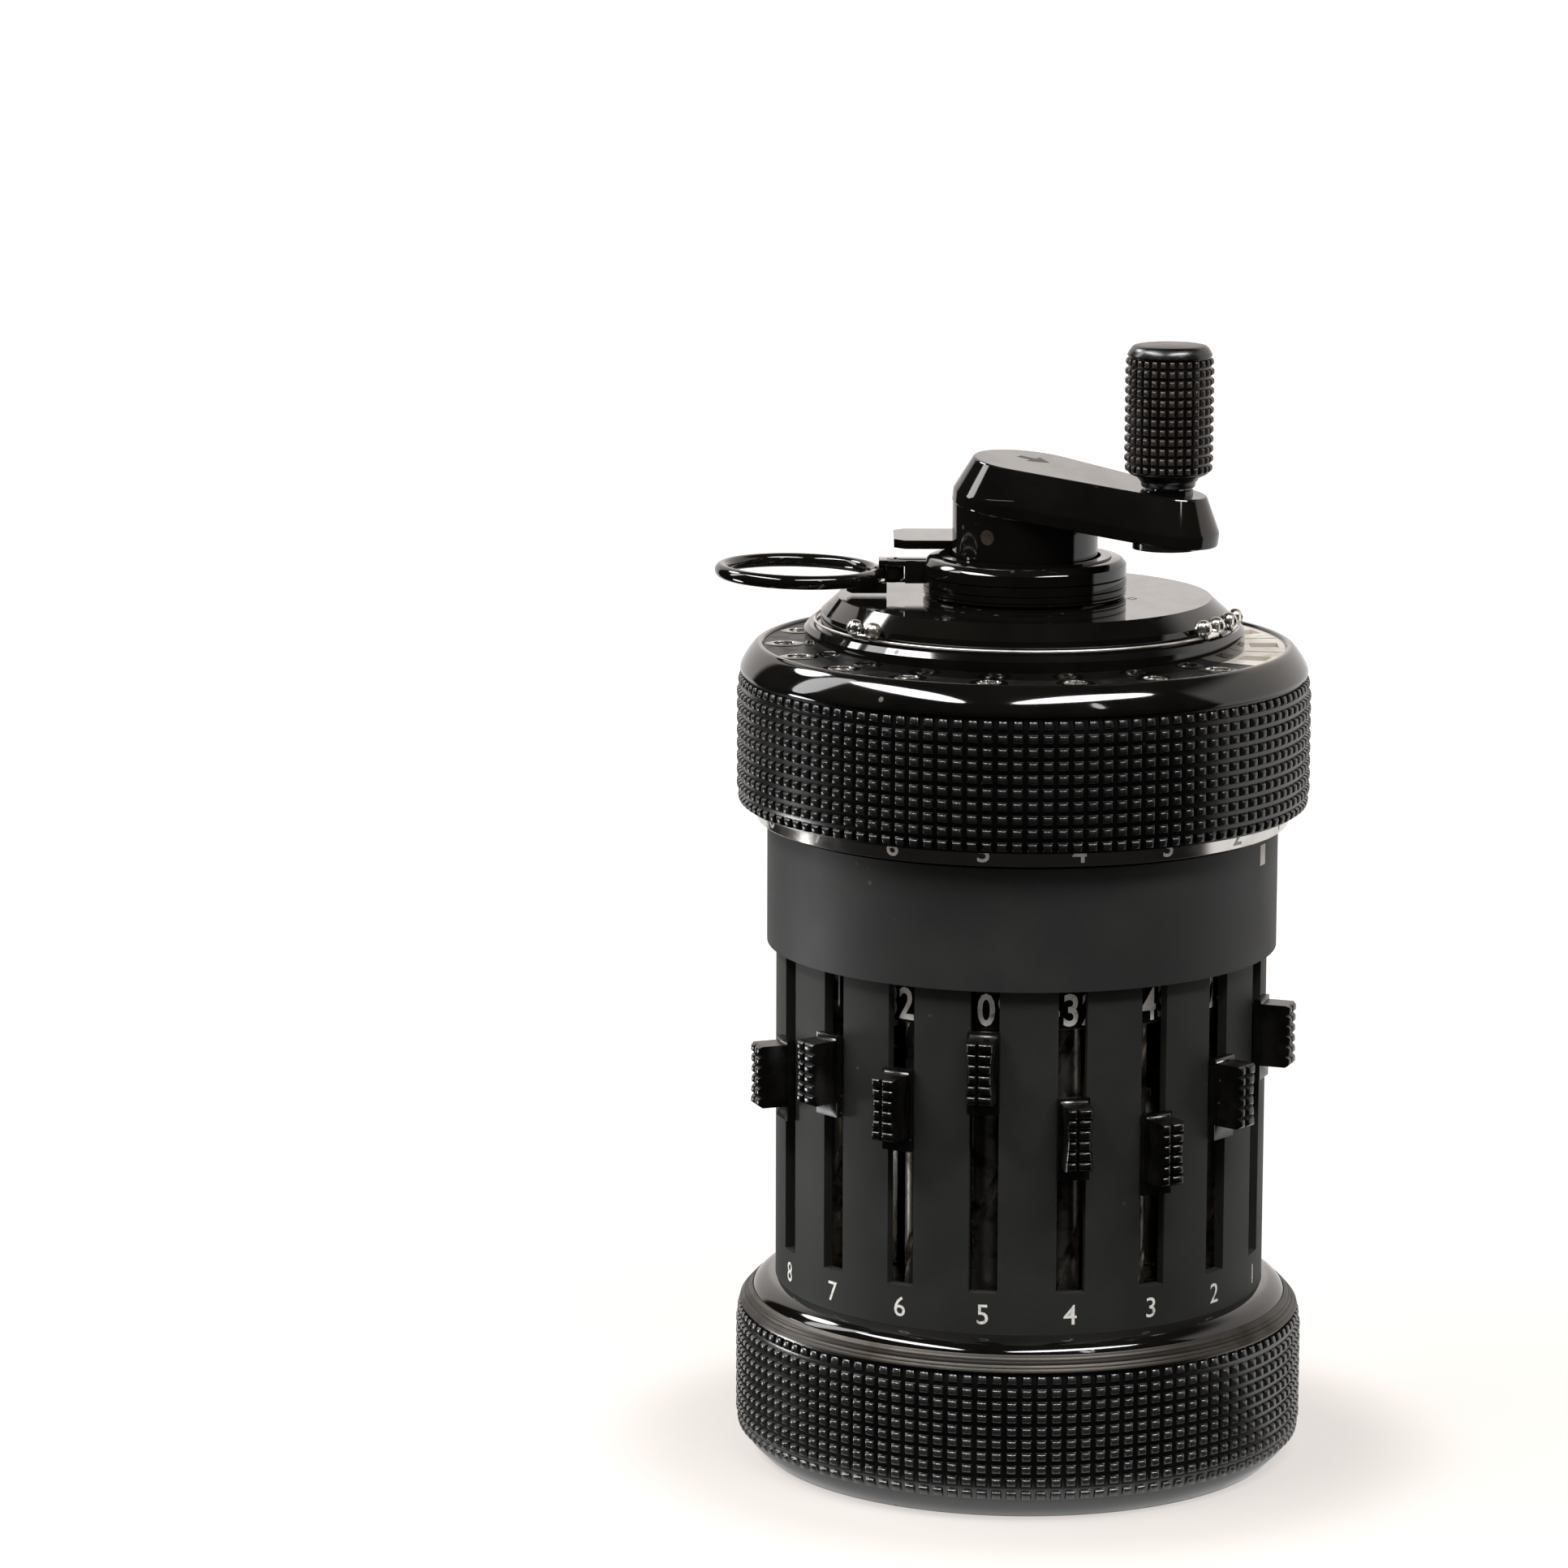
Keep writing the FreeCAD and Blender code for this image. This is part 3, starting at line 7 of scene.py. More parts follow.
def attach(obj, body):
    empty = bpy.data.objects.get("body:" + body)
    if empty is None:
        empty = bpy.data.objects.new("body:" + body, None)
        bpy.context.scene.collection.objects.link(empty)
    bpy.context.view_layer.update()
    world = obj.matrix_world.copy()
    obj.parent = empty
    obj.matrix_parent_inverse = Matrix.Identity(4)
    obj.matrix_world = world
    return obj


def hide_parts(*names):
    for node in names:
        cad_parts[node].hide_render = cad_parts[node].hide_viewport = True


# Pocket calculator with a crank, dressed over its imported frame. Sizes are millimetres in the
# dictionaries and metres in the finished meshes. An azimuth is counted from the front (-Y)
# towards +X, as in the part's source. Lamps and camera are set in metres.

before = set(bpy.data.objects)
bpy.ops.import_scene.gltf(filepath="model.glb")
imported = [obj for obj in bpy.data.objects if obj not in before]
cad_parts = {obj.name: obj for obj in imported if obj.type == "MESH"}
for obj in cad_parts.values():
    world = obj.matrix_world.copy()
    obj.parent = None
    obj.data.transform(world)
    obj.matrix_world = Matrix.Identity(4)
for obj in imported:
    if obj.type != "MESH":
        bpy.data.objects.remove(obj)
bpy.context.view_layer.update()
print("frame loaded with", len(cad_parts), "nodes")

layout = {
    "places": 8,           # slots, sliders, shafts and rolls
    "firstPlace": 70.0,    # azimuth of the units slot
    "placeStep": 20.0,
    "digitStep": 2.0,      # slider travel for one digit
    "sliderZero": 41.6,    # middle of a slider that is set to nought
    "values": (0, 2, 4, 3, 0, 2, 1, 2),
    "lift": 0.012,         # of flat figures off the surface that bears them
    "merge": 0.0005,       # corners nearer than this become one
}


def slotAzimuth(place):
    return layout["firstPlace"] - layout["placeStep"] * (place - 1)


class Term:
    # a socket that can stand in a sum; each operation adds a Math node
    def __init__(self, finish, socket):
        self.finish = finish
        self.socket = socket

    def combine(self, operation, first, second):
        return self.finish.node("Math", {"operation": operation}, {0: first, 1: second})

    def __add__(self, other):
        return self.combine("ADD", self, other)

    def __radd__(self, other):
        return self.combine("ADD", other, self)

    def __sub__(self, other):
        return self.combine("SUBTRACT", self, other)

    def __rsub__(self, other):
        return self.combine("SUBTRACT", other, self)

    def __mul__(self, other):
        return self.combine("MULTIPLY", self, other)

    def __rmul__(self, other):
        return self.combine("MULTIPLY", other, self)

    def __gt__(self, other):
        return self.combine("GREATER_THAN", self, other)

    def __lt__(self, other):
        return self.combine("LESS_THAN", self, other)

    def smooth(self, low, high):
        # 0 below low, 1 above high, eased between them
        sockets = {"Value": self, "From Min": low, "From Max": high}
        return self.finish.node("MapRange", {"interpolation_type": "SMOOTHSTEP"}, sockets)


class Finish:
    # the nodes of one material, or of the world; a piece's surface comes from shade()
    def __init__(self, owner, coordinates="Object"):
        self.owner = owner
        owner.use_nodes = True
        self.tree = owner.node_tree
        self.tree.nodes.clear()
        self.place = self.node("TexCoord", {}, {}, coordinates)

    def node(self, kind, settings, sockets, output=0):
        node = self.tree.nodes.new("ShaderNode" + kind)
        for key, value in settings.items():
            setattr(node, key, value)
        for key, value in sockets.items():
            if isinstance(value, Term):
                self.tree.links.new(value.socket, node.inputs[key])
            else:
                node.inputs[key].default_value = value
        return Term(self, node.outputs[output]) if node.outputs else node

    def noise(self, size, detail=3.0, roughness=0.5, stretch=(1, 1, 1)):
        # size is the width of a blotch in millimetres
        where = self.node("Mapping", {}, {"Vector": self.place, "Scale": stretch})
        sockets = {"Vector": where, "Scale": 1000 / size, "Detail": detail, "Roughness": roughness}
        return self.node("TexNoise", {}, sockets, "Fac")

    def specks(self, size, share):
        # scattered grains, in a share of the cells, each about a fifth of its cell wide
        sockets = {"Vector": self.place, "Scale": 1000 / size}
        near = self.node("TexVoronoi", {}, sockets, "Distance")
        shade = self.node("TexVoronoi", {}, sockets, "Color")
        lot = self.node("SeparateColor", {}, {"Color": shade}, "Red")
        return (lot < share) * (1 - near.smooth(0.11, 0.22))

    def along(self, axis):
        return self.node("SeparateXYZ", {}, {"Vector": self.place}, axis)

    def facing(self, axis):
        # how far the surface looks along one axis
        normal = self.node("NewGeometry", {}, {}, "Normal")
        return self.node("SeparateXYZ", {}, {"Vector": normal}, axis)

    def radius(self, centre=(0, 0, 0)):
        # distance from the machine's axis, or from an upright axis through centre, in metres
        flat = self.node("VectorMath", {"operation": "SUBTRACT"}, {0: self.place, 1: centre})
        flat = self.node("VectorMath", {"operation": "MULTIPLY"}, {0: flat, 1: (1, 1, 0)})
        return self.node("VectorMath", {"operation": "LENGTH"}, {0: flat}, "Value")

    def blend(self, share, first, second):
        # a colour that goes from first to second as share goes from 0 to 1
        return self.node("Mix", {"data_type": "RGBA"}, {"Factor": share, 6: first, 7: second}, 2)

    def bump(self, height, depth):
        # depth in millimetres
        return self.node("Bump", {}, {"Height": height, "Distance": depth / 1000})

    def shade(self, **sockets):
        names = {key.replace("_", " "): value for key, value in sockets.items()}
        surface = self.node("BsdfPrincipled", {}, names)
        self.node("OutputMaterial", {}, {"Surface": surface})
        return self.owner

    def mixed(self, share, first, second):
        # a surface that goes from first to second as share goes from 0 to 1
        return self.node("MixShader", {}, {0: share, 1: first, 2: second})

    def glow(self, kind, colour, strength):
        # kind is Emission for a surface, Background for the world
        return self.node(kind, {}, {"Color": colour, "Strength": strength})


def tint(red, green, blue):
    # a colour from its screen values
    return tuple((level / 255) ** 2.2 for level in (red, green, blue)) + (1,)


# Finishes

def lacquer(name, look):
    # black paint: grain in the film, uneven gloss, dust that has settled; flat tops are polished; a
    # look with a groove gets painted shade in the grooves between studs
    finish = Finish(bpy.data.materials.new(name))
    cloud = finish.noise(look["cloud"], 4)
    grain = finish.noise(look["grain"], 2)
    dust = finish.specks(look["dustSize"], look["dust"]) * cloud.smooth(0.35, 0.6)
    colour = finish.blend(cloud.smooth(0.3, 0.75), tint(*look["deep"]), tint(*look["pale"]))
    colour = finish.blend(dust, colour, tint(*look["dustColour"]))
    rough = look["rough"] + look["uneven"] * cloud.smooth(0.35, 0.75) + 0.4 * dust
    streaks = finish.noise(2.8, 5, 0.6, stretch=(1, 0.4, 1)).smooth(0.42, 0.7)
    top = finish.facing("Z").smooth(0.93, 0.99) * (1 - 0.4 * streaks) * look["topCoat"]
    # painted shade: the colour darkens from the faces of the studs into the grooves between them
    if "groove" in look:
        low, high = look["groove"]
        centre = tuple(along / 1000 for along in look["axis"])
        onStud = finish.radius(centre).smooth(low / 1000, high / 1000)
        colour = finish.blend(onStud, tint(*look["grooveColour"]), colour)
    return finish.shade(Base_Color=colour, Roughness=rough, IOR=look["ior"],
                        Coat_Weight=top, Coat_Roughness=0.04, Coat_IOR=1.6,
                        Normal=finish.bump(grain + dust * 0.6, look["relief"]))


gloss = {
    "deep": (16, 15, 14), "pale": (22, 21, 19), "dustColour": (60, 56, 52),
    "cloud": 9.0, "grain": 2.2, "dustSize": 1.5, "dust": 0.05,
    "rough": 0.05, "uneven": 0.03, "ior": 1.56, "topCoat": 0.5, "relief": 0.003,
}
matt = {
    "deep": (39, 40, 38), "pale": (43, 44, 42), "dustColour": (80, 78, 74),
    "cloud": 6.0, "grain": 0.16, "dustSize": 1.1, "dust": 0.02,
    "rough": 0.6, "uneven": 0.06, "ior": 1.36, "topCoat": 0.0, "relief": 0.01,
}
sleeve = {
    "deep": (41, 41, 41), "pale": (44, 44, 43), "dustColour": (80, 78, 74),
    "cloud": 6.0, "grain": 0.2, "dustSize": 1.1, "dust": 0.02,
    "rough": 0.55, "uneven": 0.06, "ior": 1.4, "topCoat": 0.0, "relief": 0.008,
}
knurled = {
    "deep": (25, 25, 23), "pale": (32, 30, 27), "dustColour": (70, 60, 50),
    "cloud": 5.0, "grain": 0.9, "dustSize": 0.9, "dust": 0.03,
    "rough": 0.27, "uneven": 0.06, "ior": 1.6, "topCoat": 0.0, "relief": 0.002,
    "groove": (26.1, 26.25), "grooveColour": (5, 5, 5),   # radii from groove to face of the studs, over which the painted groove shade fades out
    "axis": (0, 0, 0),
}
# the foot ring's grip is a lighter copy of the knurled grip: painted sheen for the brighter light
# on the foot
footGripPaintedLighter = dict(knurled, deep=(33, 33, 31), pale=(42, 41, 38), ior=1.85)
warm = {
    "deep": (41, 35, 31), "pale": (56, 48, 43), "dustColour": (70, 60, 50),
    "cloud": 3.0, "grain": 0.9, "dustSize": 0.9, "dust": 0.03,
    "rough": 0.25, "uneven": 0.1, "ior": 1.6, "topCoat": 0.0, "relief": 0.003,
    # painted shade in the grooves between the knob's studs
    "groove": (3.79, 3.89), "grooveColour": (11, 9, 8),
    "axis": (12.653, -7.483, 0),   # of the knob
}
worn = {
    "deep": (11, 10, 9), "pale": (19, 17, 15), "dustColour": (70, 60, 50),
    "cloud": 2.4, "grain": 0.5, "dustSize": 0.7, "dust": 0.05,
    "rough": 0.2, "uneven": 0.15, "ior": 1.65, "topCoat": 0.0, "relief": 0.004,
}


def bareMetal(name, look):
    # turned or drawn metal: fine lines round the axis, tarnish in blotches
    finish = Finish(bpy.data.materials.new(name))
    lines = finish.noise(look["line"], 2, 0.6, stretch=(0.1, 0.1, 1))
    tarnish = finish.noise(look["tarnishSize"], 4).smooth(0.45, 0.75)
    colour = finish.blend(tarnish, tint(*look["bright"]), tint(*look["tarnish"]))
    rough = look["rough"] + 0.06 * lines + look["dulled"] * tarnish
    return finish.shade(Base_Color=colour, Metallic=1.0, Roughness=rough,
                        Normal=finish.bump(lines, look["relief"]))


steel = {"bright": (200, 198, 194), "tarnish": (150, 143, 132), "line": 0.5, "tarnishSize": 4.0,
         "rough": 0.14, "dulled": 0.12, "relief": 0.002}
polished = {"bright": (216, 213, 208), "tarnish": (196, 190, 182), "line": 0.5, "tarnishSize": 4.0,
            "rough": 0.11, "dulled": 0.06, "relief": 0.0003}
silver = {"bright": (238, 236, 230), "tarnish": (190, 182, 168), "line": 0.6, "tarnishSize": 1.5,
          "rough": 0.16, "dulled": 0.15, "relief": 0.003}
satin = {"bright": (76, 73, 69), "tarnish": (56, 51, 46), "line": 0.35, "tarnishSize": 6.0,
         "rough": 0.42, "dulled": 0.08, "relief": 0.006}
brass = {"bright": (104, 88, 60), "tarnish": (62, 48, 32), "line": 0.4, "tarnishSize": 4.0,
         "rough": 0.25, "dulled": 0.2, "relief": 0.004}
shaftSteel = {"bright": (206, 200, 190), "tarnish": (66, 56, 48), "tarnishSize": 2.2,
              "rough": 0.33, "dulled": 0.08}
copper = {"bright": (190, 164, 142), "tarnish": (80, 62, 52), "line": 0.3, "tarnishSize": 0.9,
          "rough": 0.25, "dulled": 0.2, "relief": 0.003}
drawn = {"bright": (226, 222, 216), "tarnish": (150, 138, 126), "line": 0.5, "tarnishSize": 3.0,
         "rough": 0.38, "dulled": 0.1, "relief": 0.002}


def paint(name, look):
    # flat colour of signs, digits and dials, with a worn and slightly dirty skin
    finish = Finish(bpy.data.materials.new(name))
    dirt = finish.noise(look["size"], 4).smooth(0.5, 0.75)
    colour = finish.blend(dirt, tint(*look["clean"]), tint(*look["dirty"]))
    return finish.shade(Base_Color=colour, Roughness=look["rough"] + 0.15 * dirt,
                        Normal=finish.bump(dirt, 0.003))


white = {"clean": (222, 219, 212), "dirty": (166, 158, 148), "size": 0.6, "rough": 0.45}
cream = {"clean": (190, 182, 172), "dirty": (166, 154, 138), "size": 2.5, "rough": 0.28}
dialBlack = {"clean": (13, 13, 13), "dirty": (26, 24, 22), "size": 1.5, "rough": 0.4}


def rollAndShaft(name, shaft, roll, foot):
    # one turned piece: a bare shaft below and a painted number roll from the height foot upwards
    finish = Finish(bpy.data.materials.new(name))
    painted = finish.along("Z").smooth((foot - 0.02) / 1000, (foot + 0.02) / 1000)
    stain = finish.noise(shaft["tarnishSize"], 4).smooth(0.45, 0.75)
    metal = finish.blend(stain, tint(*shaft["bright"]), tint(*shaft["tarnish"]))
    colour = finish.blend(painted, metal, tint(*roll["clean"]))
    rough = shaft["rough"] + shaft["dulled"] * stain + (roll["rough"] - shaft["rough"]) * painted
    return finish.shade(Base_Color=colour, Metallic=1 - painted, Roughness=rough,
                        Normal=finish.bump(finish.noise(0.6), 0.002))


finishes = {
    "gloss": lacquer("gloss black enamel", gloss),
    "matt": lacquer("matt black shell", matt),
    "sleeve": lacquer("satin black sleeve", sleeve),
    "knurled": lacquer("knurled black grip", knurled),
    # the foot grip's lighter colour is painted sheen
    "footGripPaintedLighter": lacquer("knurled foot with painted sheen", footGripPaintedLighter),
    "warm": lacquer("brownish black knob", warm),
    "worn": lacquer("worn black finger pieces", worn),
    "steel": bareMetal("bright steel", steel),
    "silver": bareMetal("silvered beads", silver),
    "polished": bareMetal("polished lip", polished),
    "drawn": bareMetal("drawn wire", drawn),
    "satin": bareMetal("satin turned lip", satin),
    "brass": bareMetal("old brass", brass),
    "copper": bareMetal("coppered pin", copper),
    "white": paint("white digits", white),
    "cream": paint("cream enamel", cream),
    "dial": paint("black dials", dialBlack),
    "shaft": rollAndShaft("setting shaft and roll", shaftSteel, dialBlack, 44.6),
}
print("finishes made:", len(finishes))


# Mesh helpers

def spot(radius, azimuth, height=0.0):
    angle = math.radians(azimuth)
    return Vector((radius * math.sin(angle), -radius * math.cos(angle), height))


def spun(bm, profile, steps):
    # carries a profile of verts and edges once round the Z axis
    bmesh.ops.spin(bm, geom=profile, cent=(0, 0, 0), axis=(0, 0, 1),
                   angle=2 * math.pi, steps=steps, use_merge=True)
    bmesh.ops.remove_doubles(bm, verts=bm.verts, dist=layout["merge"])
    bmesh.ops.recalc_face_normals(bm, faces=bm.faces)
    return bm


def turned(corners, steps=96):
    # a closed profile of (radius, height) corners turned round the Z axis
    bm = bmesh.new()
    verts = [bm.verts.new((radius, 0, height)) for radius, height in corners]
    edges = [bm.edges.new(pair) for pair in zip(verts, verts[1:] + verts[:1])]
    return spun(bm, verts + edges, steps)


def wireRing(middle, wire, height=0.0, steps=96, sides=20):
    bm = bmesh.new()
    place = shift(middle, 0, height) @ turn("X", 90)
    profile = bmesh.ops.create_circle(bm, segments=sides, radius=wire, matrix=place)["verts"]
    return spun(bm, profile + edgesOf(profile), steps)


def block(size, centre=(0, 0, 0)):
    bm = bmesh.new()
    bmesh.ops.create_cube(bm, size=1)
    bmesh.ops.scale(bm, vec=size, verts=bm.verts)
    bmesh.ops.translate(bm, vec=centre, verts=bm.verts)
    return bm


def bevelEdges(bm, size, segments=2, least=30):
    # rounds every edge that is sharper than least degrees
    edges = [edge for edge in bm.edges
             if len(edge.link_faces) == 2 and edge.calc_face_angle() > math.radians(least)]
    bmesh.ops.bevel(bm, geom=edges, offset=size, affect="EDGES", segments=segments,
                    profile=0.5, material=-1, clamp_overlap=True)


def ofKind(items, kind):
    return [item for item in items if isinstance(item, kind)]


def edgesOf(verts):
    # each edge once, always in the same order
    return list(dict.fromkeys(edge for vert in verts for edge in vert.link_edges))


def raised(bm, made, height):
    # lifts what an extrude operator has made
    bmesh.ops.translate(bm, vec=(0, 0, height), verts=ofKind(made["geom"], bmesh.types.BMVert))


def studs(bm, cells, steps):
    # raises each cell in steps of (inwards, upwards) into a rounded stud
    for inwards, upwards in steps:
        bmesh.ops.inset_individual(bm, faces=cells, thickness=inwards, depth=upwards,
                                   use_even_offset=True)


def added(*meshes):
    # joins several bmeshes into the first
    for other in meshes[1:]:
        carrier = bpy.data.meshes.new("carrier")
        other.to_mesh(carrier)
        meshes[0].from_mesh(carrier)
        other.free()
        bpy.data.meshes.remove(carrier)
    return meshes[0]


def moved(bm, *steps):
    for step in steps:
        bmesh.ops.transform(bm, matrix=step, verts=bm.verts)
    return bm


def turn(axis, degrees):
    return Matrix.Rotation(math.radians(degrees), 4, axis)


def shift(x, y, z):
    return Matrix.Translation((x, y, z))


def piece(name, bm, finish, body, slotName, *replaced, crease=32):
    # a finished object from a mesh in millimetres
    bmesh.ops.scale(bm, vec=(0.001, 0.001, 0.001), verts=bm.verts)
    mesh = bpy.data.meshes.new(name)
    bm.to_mesh(mesh)
    bm.free()
    mesh.materials.append(finishes[finish])
    mesh.shade_smooth()
    mesh.set_sharp_from_angle(angle=math.radians(crease))
    made = bpy.data.objects.new(name, mesh)
    bpy.context.collection.objects.link(made)
    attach(made, body)
    if replaced:
        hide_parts(*replaced)
    return made


numeralMeshes = {}


def numeral(text, height, bold):
    # a flat digit in the XY plane, centred, its face towards +Z
    key = (text, height, bold)
    if key not in numeralMeshes:
        curve = bpy.data.curves.new("digit", "FONT")
        curve.body = text
        curve.size = height / 0.7
        curve.offset = bold
        curve.resolution_u = 3
        carrier = bpy.data.objects.new("digit", curve)
        numeralMeshes[key] = bpy.data.meshes.new_from_object(carrier)
        bpy.data.objects.remove(carrier)
    bm = bmesh.new()
    bm.from_mesh(numeralMeshes[key])
    for axis in (Vector((1, 0, 0)), Vector((0, 1, 0))):
        reach = [v.co.dot(axis) for v in bm.verts]
        bmesh.ops.translate(bm, vec=axis * -(min(reach) + max(reach)) / 2, verts=bm.verts)
    return bm


def wrapped(bm, radius, azimuth, height, width=1.0):
    # lays a flat drawing round a cylinder on the Z axis
    reach = max(abs(v.co.x) for v in bm.verts) * width
    bmesh.ops.scale(bm, vec=(width, 1, 1), verts=bm.verts)
    for cut in (-0.6, -0.3, 0, 0.3, 0.6):
        bmesh.ops.bisect_plane(bm, geom=bm.verts[:] + bm.edges[:] + bm.faces[:],
                               plane_co=(cut * reach, 0, 0), plane_no=(1, 0, 0))
    for vert in bm.verts:
        vert.co = spot(radius + vert.co.z, azimuth + math.degrees(vert.co.x / radius),
                       height + vert.co.y)
    return bm


def flat(height, *corners):
    # a flat figure in the XY plane from its corners, its face upwards
    bm = bmesh.new()
    bm.faces.new([bm.verts.new((x, y, height)) for x, y in corners])
    bmesh.ops.recalc_face_normals(bm, faces=bm.faces)
    if bm.faces[:][0].normal.z < 0:
        bmesh.ops.reverse_faces(bm, faces=bm.faces)
    return bm


def plate(corners, thickness):
    # a flat figure in the XZ plane, given its thickness evenly on both sides of Y = 0
    bm = flat(-thickness / 2, *corners)
    raised(bm, bmesh.ops.extrude_face_region(bm, geom=bm.faces[:], use_keep_orig=True), thickness)
    bmesh.ops.recalc_face_normals(bm, faces=bm.faces)
    return moved(bm, turn("X", 90))


# Knurled rings

# the steps of a stud are (inwards, upwards) from its cell
ringStud = ((0.18, 0.0), (0.08, 0.2), (0.09, 0.12), (0.1, 0.06))
knobStud = ((0.1, 0.0), (0.07, 0.15), (0.07, 0.09), (0.07, 0.04))
baseGrip = {"radius": 26.495, "foot": 2.05, "head": 13.92, "rows": 10, "columns": 122,
            "ease": 0.3, "stud": ringStud}
carriageGrip = dict(baseGrip, foot=61.55, head=73.7)
knobGrip = {"radius": 4.05, "foot": 93.25, "head": 103.75, "rows": 12, "columns": 30,
            "ease": 0.12, "stud": knobStud}


def knurledRing(grip, under, over):
    # a turned profile whose middle is a grid of cells, each raised into a stud; the grid's first
    # and last corners are drawn in by ease
    root = grip["radius"] - sum(upwards for inwards, upwards in grip["stud"])
    pitch = (grip["head"] - grip["foot"]) / grip["rows"]
    line = [(root, grip["foot"] + row * pitch) for row in range(grip["rows"] + 1)]
    line[0] = (root - grip["ease"], grip["foot"])
    line[-1] = (root - grip["ease"], grip["head"])
    bm = turned(under + line + over, grip["columns"])
    cells = []
    for face in bm.faces:
        middle = face.calc_center_median()
        onRoot = abs(math.hypot(middle.x, middle.y) - root) < 0.4
        if onRoot and grip["foot"] < middle.z < grip["head"]:
            cells.append(face)
    studs(bm, cells, grip["stud"])
    return bm


baseMesh = knurledRing(
    baseGrip,
    [(22.42, 0.02), (23.9, 0.0), (24.15, 0.08), (25.5, 1.5), (25.55, 1.95)],
    [(25.6, 13.96), (25.9, 14.0), (25.0, 15.2), (24.8, 15.4), (22.8, 15.4), (22.8, 3.8),
     (19.0, 3.8), (19.0, 2.0), (22.42, 2.0)])
piece("knurled_base_ring", baseMesh, "footGripPaintedLighter", "housing", "black_enamel", "base_ring", crease=55)
flare = [(22.8, 14.0), (24.9, 14.6), (24.93, 15.3), (24.84, 15.5), (24.7, 15.72), (24.5, 15.95),
         (24.25, 16.15), (23.95, 16.33), (23.6, 16.48), (23.2, 16.6), (22.8, 16.66)]
piece("glossy_base_flare", turned(flare, 160), "gloss", "housing", "black_enamel")
baseLip = [(25.0, 14.2), (26.08, 14.02), (26.16, 14.08), (26.12, 14.22), (26.0, 14.38),
           (25.93, 14.4), (25.91, 14.48), (25.76, 14.66), (25.6, 14.68), (25.58, 14.8),
           (25.5, 14.95), (25.36, 14.97), (25.33, 15.08), (25.22, 15.24), (25.1, 15.3),
           (24.99, 15.42), (24.92, 15.42), (24.9, 14.6)]
piece("turned_base_lip", turned(baseLip, 160), "satin", "housing", "aluminium")

carriageMesh = knurledRing(
    carriageGrip,
    [(23.15, 60.07), (24.45, 60.07), (24.6, 60.2), (24.6, 61.3), (24.75, 61.42), (25.5, 61.5)],
    [(25.6, 73.74), (25.8, 73.76), (24.05, 75.0), (24.05, 62.0), (23.15, 62.0)])
piece("knurled_carriage_ring", carriageMesh, "knurled", "carriage", "black_enamel",
      "carriage_ring", crease=55)
shoulder = [(24.3, 74.0), (25.95, 73.74), (26.12, 73.84), (26.2, 74.1), (26.16, 74.3),
            (26.0, 74.7), (25.72, 75.2), (25.42, 75.65), (25.1, 76.05), (24.85, 76.3),
            (24.6, 76.44), (24.38, 76.48), (24.2, 76.44), (24.08, 76.3), (24.05, 76.1),
            (24.05, 74.2)]
piece("glossy_carriage_shoulder", turned(shoulder, 160), "gloss", "carriage", "black_enamel")
carriageLip = [(24.3, 60.2), (24.5, 60.1), (24.62, 60.2), (24.62, 61.4), (24.3, 61.4)]
piece("polished_carriage_lip", turned(carriageLip, 160), "polished", "carriage", "steel")
print("knurled rings made")


# Crank

arm = {
    "azimuth": 59.4, "throw": 14.7, "tilt": 7.0,
    "foot": 88.9, "hub": 6.7, "hubFoot": 81.95, "link": 6.8, "boss": 4.6,
    "rim": 1.2, "crown": 3.15, "draft": 1.53, "edge": 0.16,
    "seat": 2.3, "seatHead": 91.75, "seatFoot": 90.5,
}


def armMesh():
    # a disc whose right side is carried out to the knob, raised and drawn in
    bm = bmesh.new()
    reach = arm["throw"] / math.cos(math.radians(arm["tilt"]))
    bmesh.ops.create_circle(bm, segments=96, radius=arm["link"], cap_ends=True)
    tangent = arm["link"] * (arm["link"] - arm["boss"]) / reach
    shrunk = shift(reach, 0, 0) @ Matrix.Scale(arm["boss"] / arm["link"], 4)
    bmesh.ops.transform(bm, matrix=shrunk, verts=[v for v in bm.verts if v.co.x > tangent])
    made = bmesh.ops.extrude_face_region(bm, geom=bm.faces[:], use_keep_orig=True)
    raised(bm, made, arm["rim"])
    bmesh.ops.recalc_face_normals(bm, faces=bm.faces)
    bmesh.ops.inset_region(bm, faces=ofKind(made["geom"], bmesh.types.BMFace),
                           thickness=arm["draft"], depth=arm["crown"],
                           use_even_offset=True, use_boundary=True)
    bevelEdges(bm, arm["edge"], 3, 20)
    return moved(bm, turn("Y", arm["tilt"]), shift(0, 0, arm["foot"]))


hubMesh = turned([(2.5, arm["hubFoot"]), (6.45, arm["hubFoot"]), (arm["hub"], 82.2),
                  (arm["hub"], 90.4), (2.5, 90.4)])
seatMesh = turned([(1.5, arm["seatFoot"]), (arm["seat"], arm["seatFoot"]), (arm["seat"], 91.65),
                   (2.2, arm["seatHead"]), (1.5, arm["seatHead"])], 64)
crankMesh = added(armMesh(), hubMesh, moved(seatMesh, shift(arm["throw"], 0, 0)))
moved(crankMesh, turn("Z", arm["azimuth"] - 90))
piece("crank_with_hub", crankMesh, "gloss", "crank", "black_enamel", "crank_arm", crease=12)

arrow = flat(arm["rim"] + arm["crown"] + layout["lift"],
             (-1.5, -0.4), (0, -0.4), (0, -1.3), (1.7, 0), (0, 1.3), (0, 0.4), (-1.5, 0.4))
moved(arrow, shift(-0.4, 1.2, 0), turn("Y", arm["tilt"]), shift(0, 0, arm["foot"]),
      turn("Z", arm["azimuth"] - 90))
piece("turning_arrow", arrow, "dial", "crank", "dial_black")

